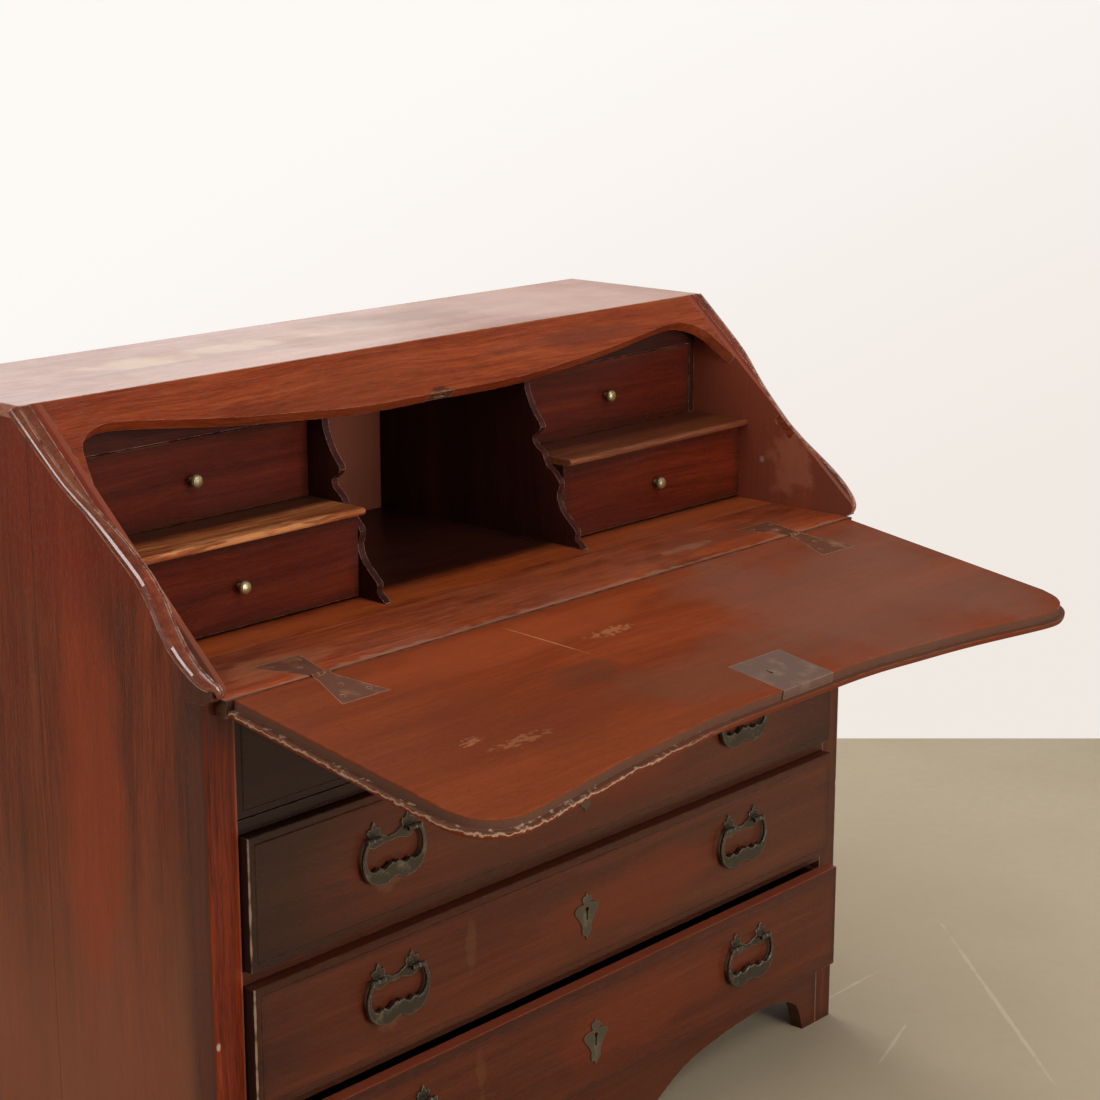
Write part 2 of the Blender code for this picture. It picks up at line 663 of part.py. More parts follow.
def small_drawer(name, side, outer, z, depth, lift=0.0):
    """An inner drawer: a solid front with a thin-walled tray behind it, and a turned knob.

    With a lift its front stops that far over the tray's underside, to pass the hinges' knuckles.
    """
    inner = PARTITION_IN + PARTITION_T + SMALL_GAP
    x = sorted((side * inner, side * (outer - SMALL_GAP)))
    front = BACK_Y - depth
    back = front + SMALL_LENGTH
    carrier = empty(f"{name}_slide", ((x[0] + x[1]) / 2, front, (z[0] + z[1]) / 2))
    cx, cy, cz = carrier.location
    z0, z1 = z[0] - cz, z[1] - cz

    def ring(a, b, c, d, h):
        corners = ((a, c), (b, c), (b, d), (a, d))
        return [(p - cx, q - cy, h) for p, q in corners]

    inside = (x[0] + SMALL_WALL, x[1] - SMALL_WALL, front + SMALL_FRONT_T, back - SMALL_WALL)
    rings = [ring(x[0], x[1], front, back, z0), ring(x[0], x[1], front, back, z1)]
    rings += [ring(*inside, z1), ring(*inside, z0 + SMALL_WALL)]
    drawer = solid(name, rings, colour=INNER_WOOD, roughness=0.4, parent=carrier)
    soften(drawer, 0.0008)
    if lift:
        half = (x[1] - x[0]) / 2 + 0.01
        reach = (-0.01, SMALL_FRONT_T)
        under = block(f"{name}_lift", (-half, half), reach, (z0 - 0.01, z0 + lift), parent=carrier)
        boolean(drawer, under, "DIFFERENCE")
    profile = [(0.0036, FIT), (0.0030, 0.0030), (0.0034, 0.0065)]
    profile += [(share * KNOB_R, forward) for share, forward in KNOB_BUTTON]
    turned(f"{name}_knob", profile, 20, (0, 0, 0), parent=carrier, **BRASS)


def make_small_drawers():
    lower = (WRITING_Z + FIT, SHELF_Z - SHELF_T - FIT * 2)
    upper = (SHELF_Z + FIT, UPPER_TOP)
    lift = KNUCKLE_R + FIT
    for side, tag in ((-1, "left"), (1, "right")):
        small_drawer(f"small_drawer_lower_{tag}", side, HALF_IN, lower, LOWER_DEPTH, lift)
        small_drawer(f"small_drawer_upper_{tag}", side, HALF_LID_HOLE - SMALL_IN, upper, UPPER_DEPTH)


# ---- Lid ----
def lid_outline(grow):
    """The lid's outline as (x, distance from the hinge axis), grown at the sides and the free edge."""
    curve = shifted(fall_curve(), grow - LID_CLEAR)
    curve = [Vector((max(p.x, 0.0), p.y)) for p in curve]
    curve[0].x = 0.0
    side = HALF_LID_HOLE - LID_CLEAR + grow
    curve = [Vector((min(p.x, side), p.y)) for p in curve]
    start = HINGE_GAP + 0.05 * max(grow, 0.0)
    half = [(side, start), (side, HINGE_LONG)] + list(reversed(curve))
    return [Vector(p) for p in half] + [Vector((-x, s)) for x, s in reversed(half[:-1])]


def make_lid(hinge):
    """The lid lies flat in its own frame, its inner face up and its free edge towards -Y."""
    steps = [(-0.0009, 0.0), (0.0, 0.0009), (0.0, LID_REBATE), (LIP_W, LID_REBATE)]
    steps += [(LIP_W, LID_REBATE + LIP_T * 0.45), (LIP_W - 0.0012, LID_REBATE + LIP_T * 0.8)]
    steps.append((LIP_W - 0.0042, LID_T))
    rings = [[(x, -s, -e) for x, s in lid_outline(grow)] for grow, e in steps]
    lid = solid("lid_board", rings, colour=RED_WOOD, roughness=0.38, parent=hinge)
    for side, tag in ((-1, "left"), (1, "right")):
        centre = side * HINGE_X
        leaf = mirrored_leaf(leaf_outline(FIT))
        rings = [[(centre + x, -s, z) for x, s in leaf] for z in (-LEAF_T - FIT, 0.01)]
        boolean(lid, solid(f"lid_leaf_pocket_{tag}", rings, parent=hinge), "DIFFERENCE")
        reach = HINGE_WAIST / 2 + FIT
        x = (centre - reach, centre + reach)
        groove = barrel(f"lid_knuckle_groove_{tag}", x, KNUCKLE_R + FIT * 2, 0, 0, 16, parent=hinge)
        boolean(lid, groove, "DIFFERENCE")
    edge = lid_outline(0)[len(lid_outline(0)) // 2].y
    make_lock(lid, hinge, edge)
    round_shading(lid, 40)


def make_lock(lid, hinge, edge):
    """Lock plate let into the inner face, with a selvedge down the lid's free edge, and its keyhole."""
    x0, x1 = LOCK_X - LOCK_W / 2, LOCK_X + LOCK_W / 2
    lip = edge + 0.0006
    lap = lip + LOCK_T * 0.6
    foot = -LID_REBATE + FIT
    outline = [(lip - LOCK_L, 0), (lap, 0), (lap, foot), (lip, foot), (lip, -LOCK_T), (lip - LOCK_L, -LOCK_T)]
    rings = [[(x, -s, z) for s, z in outline] for x in (x0, x1)]
    plate = solid("lid_lock", rings, parent=hinge, **IRON)
    span = (-edge - 0.01, -lip + LOCK_L + FIT)
    pocket = block("lock_pocket", (x0 - FIT, x1 + FIT), span, (-LOCK_T - FIT, 0.01), parent=hinge)
    boolean(lid, pocket, "DIFFERENCE")
    key_s = edge - 0.041
    angles = [math.radians(a) for a in range(-60, 241, 25)]
    hole = [(KEY_X + 0.0032 * math.cos(a), key_s + 0.0032 * math.sin(a)) for a in angles]
    hole += [(KEY_X - 0.0014, key_s - 0.009), (KEY_X + 0.0014, key_s - 0.009)]
    rings = [[(x, -s, z) for x, s in hole] for z in (-LID_T - 0.01, 0.01)]
    keyhole = solid("lid_keyhole", rings, parent=hinge)
    boolean(plate, keyhole, "DIFFERENCE")
    boolean(lid, keyhole, "DIFFERENCE")


def make_hinges(hinge):
    """Butterfly leaves: the lid's carries the middle knuckle, the case's the outer two."""
    third = HINGE_WAIST / 6
    trim = 0.0002
    web_z = (-LEAF_T + 0.0001, -0.0001)
    for side, tag in ((-1, "left"), (1, "right")):
        centre = side * HINGE_X
        leaf = mirrored_leaf(leaf_outline(0))
        tongue = third - FIT
        rings = [[(centre + x, -s, z) for x, s in leaf] for z in (-LEAF_T, 0)]
        lid_leaf = solid(f"hinge_lid_leaf_{tag}", rings, parent=hinge, **IRON)
        x = (centre - tongue, centre + tongue)
        inner = (x[0] + trim, x[1] - trim)
        web = block(f"lid_leaf_web_{tag}", inner, (-0.008, -OVERLAP), web_z, parent=hinge)
        pin = barrel(f"lid_leaf_knuckle_{tag}", x, KNUCKLE_R, 0, 0, parent=hinge)
        boolean(lid_leaf, web, "UNION")
        boolean(lid_leaf, pin, "UNION")
        rings = [[(centre + x, BACK_Y - HINGE_D + s, WRITING_Z + z) for x, s in leaf] for z in (-LEAF_T, 0)]
        case_leaf = solid(f"hinge_case_leaf_{tag}", rings, **IRON)
        for end, mark in ((-1, "a"), (1, "b")):
            x = sorted((centre + end * third, centre + end * 3 * third))
            y = (BACK_Y - HINGE_D + OVERLAP, BACK_Y - HINGE_D + 0.008)
            z = (WRITING_Z + web_z[0], WRITING_Z + web_z[1])
            web = block(f"case_leaf_web_{tag}_{mark}", (x[0] + trim, x[1] - trim), y, z)
            pin = barrel(f"case_leaf_knuckle_{tag}_{mark}", x, KNUCKLE_R, BACK_Y - HINGE_D, WRITING_Z)
            boolean(case_leaf, web, "UNION")
            boolean(case_leaf, pin, "UNION")


# ---- Wide drawers ----
# Half outlines of the castings: distance from the middle, height over the bail's axis or the plate's middle.
PLATE_HALF = (
    (0.0, -0.0100), (0.0100, -0.0085), (0.0180, -0.0110), (0.0275, -0.0130), (0.0350, -0.0100),
    (0.0368, -0.0030), (0.0345, 0.0030), (0.0385, 0.0080), (0.0365, 0.0122), (0.0318, 0.0118),
    (0.0305, 0.0155), (0.0275, 0.0200), (0.0245, 0.0155), (0.0232, 0.0118), (0.0185, 0.0122),
    (0.0165, 0.0080), (0.0185, 0.0035), (0.0110, 0.0005), (0.0045, -0.0030), (0.0, -0.0022),
)
BAIL_OUTER = (
    (0.0430, 0.0010), (0.0470, -0.0065), (0.0505, -0.0170), (0.0508, -0.0280), (0.0475, -0.0400),
    (0.0400, -0.0500), (0.0290, -0.0555), (0.0170, -0.0572), (0.0080, -0.0545), (0.0030, -0.0515),
    (0.0, -0.0530),
)
BAIL_INNER = (
    (0.0, -0.0345), (0.0055, -0.0325), (0.0110, -0.0360), (0.0185, -0.0385), (0.0245, -0.0345),
    (0.0310, -0.0375), (0.0390, -0.0355), (0.0445, -0.0280), (0.0455, -0.0180), (0.0425, -0.0080),
    (0.0385, -0.0010),
)
ESCUTCHEON_HALF = (
    (0.0, 0.0325), (0.0030, 0.0275), (0.0075, 0.0270), (0.0085, 0.0215), (0.0060, 0.0170),
    (0.0140, 0.0165), (0.0225, 0.0125), (0.0215, 0.0060), (0.0165, 0.0000), (0.0110, -0.0080),
    (0.0085, -0.0150), (0.0090, -0.0205), (0.0070, -0.0250), (0.0030, -0.0265), (0.0, -0.0325),
)


def flat_casting(name, outline, y, edge, parent, **look):
    """A thin casting: an outline of (x, height) between two depths, its front arris chamfered."""
    count = len(outline)
    small = []
    for i, point in enumerate(outline):
        along = outline[(i + 1) % count] - outline[i - 1]
        small.append(point + Vector((-along.y, along.x)).normalized() * edge)
    rings = [[(x, y[0], z) for x, z in outline], [(x, y[1] + abs(edge), z) for x, z in outline]]
    rings.append([(x, y[1], z) for x, z in small])
    return round_shading(solid(name, rings, parent=parent, **look), 30)


def handle(name, slide, pivot):
    """A cast backplate with two finial posts, and the bail that swings on them."""
    offset = Vector(pivot) - slide.location
    mount = empty(f"{name}_mount", offset, slide)
    outline = mirrored(PLATE_HALF)
    back = PIVOT_OUT - FIT
    plate = flat_casting(f"{name}_plate", outline, (back, back - PLATE_T), 0.0006, mount, **BRONZE)
    for side, tag in ((-1, "a"), (1, "b")):
        inner, outer = side * (POST_X - 0.0050), side * (POST_X + 0.0060)
        x = sorted((inner + side * 0.001, outer - side * 0.001))
        depth = (0.0005, back - OVERLAP)
        neck = block(f"{name}_neck_{tag}", x, depth, (-0.0026, 0.0026), parent=mount)
        boss = barrel(f"{name}_boss_{tag}", sorted((inner, outer)), 0.0036, 0, 0, 10, parent=mount)
        boolean(plate, neck, "UNION")
        boolean(plate, boss, "UNION")
    swing = empty(f"{name}_swing", offset, slide)
    outside = smooth(BAIL_OUTER, 2)
    inside = smooth(BAIL_INNER, 2)
    loop = outside + [Vector((-p.x, p.y)) for p in reversed(outside[:-1])]
    loop += [Vector((-p.x, p.y)) for p in reversed(inside[1:])] + inside
    bail = flat_casting(f"{name}_bail", loop, (BAIL_T / 2, -BAIL_T / 2), -0.0012, swing, **BRONZE)
    for side, tag in ((-1, "a"), (1, "b")):
        x = sorted((side * (POST_X + 0.0060 + FIT), side * 0.0425))
        boolean(bail, barrel(f"{name}_eye_{tag}", x, 0.0034, 0, 0, 10, parent=swing), "UNION")


def wide_drawer(name, level, out):
    """A wide drawer: bordered front, box with its bottom let in, escutcheon and two handles."""
    half = HALF_OPEN - DRAWER_GAP
    low, high = level
    face = CASE_DEPTH + out
    middle = (low + high) / 2
    slide = empty(f"{name}_slide", (0, BACK_Y - face, middle))
    at = tuple(slide.location)
    look = {"colour": DARK_WOOD, "roughness": 0.4}
    span = (low + DRAWER_GAP, high - DRAWER_GAP)
    front = framed_front(f"{name}_front", (-half, half), span, face, FRONT_T, slide, at, **look)
    z = (low + FIT - middle, high - DRAWER_HEAD - middle)
    near = FRONT_T + FIT
    far = face - (BACK_T + out + DRAWER_TAIL)
    side = half - 0.0005
    inside = side - DRAWER_WALL
    back = far - DRAWER_WALL
    u_shape = [(-side, near), (-inside, near), (-inside, back), (inside, back), (inside, near)]
    u_shape += [(side, near), (side, far), (-side, far)]
    rings = [[(x, y, h) for x, y in u_shape] for h in z]
    box = solid(f"{name}_box", rings, colour=BOX_WOOD, roughness=0.7, parent=slide)
    wide = side - DRAWER_WALL / 2
    floor = (z[0] + DRAWER_FLOOR_UP, z[0] + DRAWER_FLOOR_UP + DRAWER_FLOOR_T)
    depth = (near + OVERLAP, far - DRAWER_WALL / 2)
    bottom = block(f"{name}_bottom", (-wide, wide), depth, floor, parent=slide)
    boolean(box, bottom, "UNION")
    plate_z = -ESCUTCHEON_DOWN
    outline = [Vector((ESCUTCHEON_X + p.x, plate_z + p.y)) for p in mirrored(smooth(ESCUTCHEON_HALF, 2))]
    depth = (-FIT, -FIT - ESCUTCHEON_T)
    escutcheon = flat_casting(f"{name}_escutcheon", outline, depth, -0.0004, slide, **BRONZE)
    hole_z = plate_z + 0.0095
    angles = [math.radians(a) for a in range(-60, 241, 25)]
    hole = [(ESCUTCHEON_X + 0.0034 * math.cos(a), hole_z + 0.0034 * math.sin(a)) for a in angles]
    hole += [(ESCUTCHEON_X - 0.0015, hole_z - 0.015), (ESCUTCHEON_X + 0.0015, hole_z - 0.015)]
    keyhole = solid(f"{name}_keyhole", [[(x, y, z) for x, z in hole] for y in (0.012, -0.01)], parent=slide)
    boolean(escutcheon, keyhole, "DIFFERENCE")
    boolean(front, keyhole, "DIFFERENCE")
    pivot_y = BACK_Y - face - PIVOT_OUT
    for sign, tag in ((-1, "left"), (1, "right")):
        handle(f"{name}_handle_{tag}", slide, (sign * HANDLE_X, pivot_y, middle + PIVOT_UP))


def main():
    for old in list(bpy.data.objects):
        bpy.data.objects.remove(old, do_unlink=True)
    make_sides()
    make_top_and_back()
    make_posts()
    make_mouldings()
    make_fall_rail()
    make_writing_surface()
    make_rails_and_base()
    make_interior()
    make_small_drawers()
    hinge = empty("lid_hinge", (0, BACK_Y - HINGE_D, WRITING_Z), rotation=(LID_DROOP, 0, 0))
    make_lid(hinge)
    make_hinges(hinge)
    for name, level, out in zip(("drawer_lower", "drawer_middle", "drawer_upper"), row_levels(), DRAWER_OUT):
        wide_drawer(name, level, out)
    bpy.context.view_layer.update()


main()
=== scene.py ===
"""Looks for a slant-front secretary desk.

Worn red mahogany, dark bronze pulls and iron hinges, in a pale studio.
"""

import logging
import math
from collections.abc import Callable
from dataclasses import dataclass
from enum import Enum
from typing import ClassVar

import bpy
from mathutils import Matrix, Vector


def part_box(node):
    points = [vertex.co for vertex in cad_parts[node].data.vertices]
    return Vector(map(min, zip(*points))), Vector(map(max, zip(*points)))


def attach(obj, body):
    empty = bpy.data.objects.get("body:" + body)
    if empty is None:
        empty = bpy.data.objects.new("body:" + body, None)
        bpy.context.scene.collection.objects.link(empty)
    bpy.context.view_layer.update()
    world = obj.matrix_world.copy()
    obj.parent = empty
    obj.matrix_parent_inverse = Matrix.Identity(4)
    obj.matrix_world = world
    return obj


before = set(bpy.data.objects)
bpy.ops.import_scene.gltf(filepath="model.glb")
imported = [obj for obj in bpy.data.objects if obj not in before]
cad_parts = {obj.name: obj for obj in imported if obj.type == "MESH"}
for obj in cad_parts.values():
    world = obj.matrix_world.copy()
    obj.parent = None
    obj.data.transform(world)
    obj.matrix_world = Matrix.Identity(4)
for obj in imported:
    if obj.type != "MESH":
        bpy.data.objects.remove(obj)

LOG = logging.getLogger("desk")

Rgb = tuple[float, float, float]
Point = tuple[float, float, float]
Box = tuple[Vector, Vector]
Paint = Rgb | bpy.types.NodeSocket


def tone(red: int, green: int, blue: int) -> Rgb:
    """A colour as a shader needs it, from its 0 to 255 display values.

    Args:
        red: display value of the red part.
        green: display value of the green part.
        blue: display value of the blue part.

    Returns:
        The three linear parts.
    """
    parts = []
    for level in (red, green, blue):
        share = level / 255
        parts.append(share / 12.92 if share <= 0.04045 else ((share + 0.055) / 1.055) ** 2.4)
    return (parts[0], parts[1], parts[2])


class Field:
    """A number that varies over a surface. Sums on it add Math nodes to its graph."""

    def __init__(self, graph: "Graph", socket: bpy.types.NodeSocket) -> None:
        """Keeps the graph and the output socket that carries the number."""
        self.graph = graph
        self.socket = socket

    def __add__(self, other: "Value") -> "Field":
        """Sum with a number or another field."""
        return self.graph.math("ADD", self, other)

    __radd__ = __add__

    def __sub__(self, other: "Value") -> "Field":
        """This less a number or another field."""
        return self.graph.math("SUBTRACT", self, other)

    def __rsub__(self, other: "Value") -> "Field":
        """A number less this."""
        return self.graph.math("SUBTRACT", other, self)

    def __mul__(self, other: "Value") -> "Field":
        """Product with a number or another field."""
        return self.graph.math("MULTIPLY", self, other)

    __rmul__ = __mul__

    def __pow__(self, power: "Value") -> "Field":
        """This raised to a power."""
        return self.graph.math("POWER", self, power)


Value = Field | float
Place = tuple[Field, Field, Field]


class Graph:
    """The node tree of one material or world, with short ways to add its nodes."""

    def __init__(self, name: str, world: bool = False) -> None:
        """Makes an empty material, or world, of that name."""
        self.owner = bpy.data.worlds.new(name) if world else bpy.data.materials.new(name)
        self.owner.use_nodes = True
        self.tree = self.owner.node_tree
        self.tree.nodes.clear()

    def node(
        self, kind: str, settings: dict | None = None, inputs: dict | None = None
    ) -> bpy.types.Node:
        """Adds one node.

        Args:
            kind: the node's type without its ShaderNode prefix.
            settings: its options, set first; "stops" gives a colour ramp's (place, colour) pairs.
            inputs: a value, a socket or a Field for each socket, by name or number.

        Returns:
            The node.
        """
        made = self.tree.nodes.new("ShaderNode" + kind)
        for option, choice in (settings or {}).items():
            if option == "stops":
                self._set_stops(made, choice)
            else:
                setattr(made, option, choice)
        for key, value in (inputs or {}).items():
            socket = made.inputs[key]
            if isinstance(value, Field):
                self.tree.links.new(value.socket, socket)
            elif isinstance(value, bpy.types.NodeSocket):
                self.tree.links.new(value, socket)
            elif socket.type == "RGBA" and len(value) == 3:
                socket.default_value = (*value, 1.0)
            else:
                socket.default_value = value
        return made

    @staticmethod
    def _set_stops(ramp: bpy.types.Node, stops: list[tuple[float, Rgb]]) -> None:
        """Gives a colour ramp its stops."""
        elements = ramp.color_ramp.elements
        while len(elements) > 1:
            elements.remove(elements[-1])
        elements[0].position, elements[0].color = stops[0][0], (*stops[0][1], 1.0)
        for place, colour in stops[1:]:
            elements.new(place).color = (*colour, 1.0)

    def math(self, operation: str, *values: Value) -> Field:
        """A Math node on numbers and fields.

        Args:
            operation: the node's operation.
            values: its inputs, in order.

        Returns:
            The answer.
        """
        made = self.node("Math", {"operation": operation}, dict(enumerate(values)))
        return Field(self, made.outputs[0])

    def step(self, value: Field, low: float, high: float) -> Field:
        """A soft step: 0 at low, 1 at high, and smooth between."""
        settings = {"interpolation_type": "SMOOTHSTEP"}
        falls = low > high
        span = (high, low) if falls else (low, high)
        inputs = {
            "Value": value,
            "From Min": span[0],
            "From Max": span[1],
            "To Min": 1.0 if falls else 0.0,
            "To Max": 0.0 if falls else 1.0,
        }
        return Field(self, self.node("MapRange", settings, inputs).outputs[0])

    def place(self) -> Place:
        """The object's own x, y and z, in metres."""
        spot = self.node("TexCoord").outputs["Object"]
        x, y, z = self.node("SeparateXYZ", None, {0: spot}).outputs
        return (Field(self, x), Field(self, y), Field(self, z))

    def join(self, x: Value, y: Value, z: Value) -> bpy.types.NodeSocket:
        """A vector from three numbers."""
        return self.node("CombineXYZ", None, {0: x, 1: y, 2: z}).outputs[0]

    def noise(
        self, spot: bpy.types.NodeSocket, scale: float, detail: float = 3.0, rough: float = 0.5
    ) -> Field:
        """Soft noise from 0 to 1 at a place.

        Args:
            spot: the place, a vector.
            scale: how many blotches there are to a unit.
            detail: how many finer layers it has.
            rough: how strong those are.

        Returns:
            The noise.
        """
        inputs = {"Vector": spot, "Scale": scale, "Detail": detail, "Roughness": rough}
        return Field(self, self.node("TexNoise", None, inputs).outputs["Fac"])

    def mix(self, share: Value, under: Paint, over: Paint) -> bpy.types.NodeSocket:
        """One colour laid over another.

        Args:
            share: how much of the upper one shows.
            under: the lower colour.
            over: the upper colour.

        Returns:
            The mixed colour.
        """
        settings = {"data_type": "RGBA", "clamp_factor": True}
        made = self.node("Mix", settings, {0: share, 6: under, 7: over})
        return made.outputs[2]

    def ramp(self, value: Field, stops: list[tuple[float, Rgb]]) -> bpy.types.NodeSocket:
        """A colour read off a row of stops."""
        return self.node("ValToRGB", {"stops": stops}, {0: value}).outputs[0]

    def corners(self, reach: float) -> Field:
        """How near an edge is: 0 on a flat face, towards 1 on a sharp edge.

        Args:
            reach: how far from the edge it begins, in metres.

        Returns:
            The nearness.
        """
        rounded = self.node("Bevel", {"samples": 4}, {"Radius": reach}).outputs[0]
        plain = self.node("NewGeometry").outputs["Normal"]
        dot = self.node("VectorMath", {"operation": "DOT_PRODUCT"}, {0: rounded, 1: plain})
        return self.step(1.0 - Field(self, dot.outputs["Value"]), 0.015, 0.2)

    def bump(self, height: Field, depth: float) -> bpy.types.NodeSocket:
        """A normal that follows a height, whose full range is depth in metres."""
        inputs = {"Height": height, "Distance": depth, "Strength": 1.0}
        return self.node("Bump", None, inputs).outputs[0]

    def surface(self, inputs: dict) -> bpy.types.Material:
        """Ends the graph in one Principled shader with those inputs."""
        shader = self.node("BsdfPrincipled", None, inputs)
        self.node("OutputMaterial", None, {0: shader.outputs[0]})
        return self.owner


class Grain(Enum):
    """Which way the fibres run: the axes along them, across them and through the board."""

    LONG = (0, 1, 2)
    LONG_FRONT = (0, 2, 1)
    UPRIGHT = (2, 1, 0)
    UPRIGHT_FRONT = (2, 0, 1)
    DEEP = (1, 0, 2)
    DEEP_SIDE = (1, 2, 0)


@dataclass(frozen=True)
class Mark:
    """A stain, rub or scratch: an ellipse with a torn edge on a surface.

    Attributes:
        middle: its middle, in metres; a size of 0 on an axis means that it holds all along it.
        size: its half sizes.
        colour: what it turns the wood to.
        strength: how far, at its middle.
        torn: how ragged its edge is, from 0.
        fineness: how many tears there are to a metre.
        slant: how far it drifts along x for each metre of y.
        drawn: how short its tears are along x, from 0, long, to 1, round.
    """

    middle: Point
    size: Point
    colour: Rgb
    strength: float = 0.6
    torn: float = 0.5
    fineness: float = 60.0
    slant: float = 0.0
    drawn: float = 1.0

    def cover(self, graph: Graph, place: Place) -> Field:
        """How much of the mark shows at each place, from 0 to 1."""
        total: Value = 0.0
        for axis, half in enumerate(self.size):
            if half > 0:
                away = place[axis] - self.middle[axis]
                if axis == 0 and self.slant:
                    away = away - (place[1] - self.middle[1]) * self.slant
                total = away * away * (1 / half**2) + total
        if self.torn > 0:
            spot = graph.join(place[0] * self.drawn, place[1], place[2])
            tears = graph.noise(spot, self.fineness, 3.0, 0.6)
            total = total + (tears - 0.5) * (3 * self.torn)
        return graph.step(total, 1.0, 0.2) * self.strength


@dataclass(frozen=True)
class Band:
    """A stripe between two planes: a shaded end, grime in a rebate or a fade along a board.

    Attributes:
        way: the direction that depth is measured in, of length 1.
        start: the depth where it begins, in metres.
        end: the depth where it ends.
        colour: what it turns the wood to.
        strength: how far.
        soft: over how many metres it fades in and out.
        torn: how ragged its edges are, in metres.
        fineness: how many tears there are to a metre.
        left_of: where it dies out to the right, on x, if it does.
        dying: over how many metres it does so, to either side of that.
    """

    way: Point
    start: float
    end: float
    colour: Rgb
    strength: float = 0.8
    soft: float = 0.001
    torn: float = 0.0
    fineness: float = 60.0
    left_of: float | None = None
    dying: ClassVar[float] = 0.12

    def cover(self, graph: Graph, place: Place) -> Field:
        """How much of the band shows at each place, from 0 to 1."""
        depth: Value = 0.0
        for axis, share in enumerate(self.way):
            if share:
                depth = place[axis] * share + depth
        if self.torn > 0:
            tears = graph.noise(graph.join(*place), self.fineness, 3.0, 0.6)
            depth = depth + (tears - 0.5) * (3 * self.torn)
        begins = graph.step(depth, self.start - self.soft, self.start + self.soft)
        ends = graph.step(depth, self.end + self.soft, self.end - self.soft)
        shown = begins * ends * self.strength
        if self.left_of is None:
            return shown
        return shown * graph.step(place[0], self.left_of + self.dying, self.left_of - self.dying)


Marks = tuple[Mark | Band, ...]


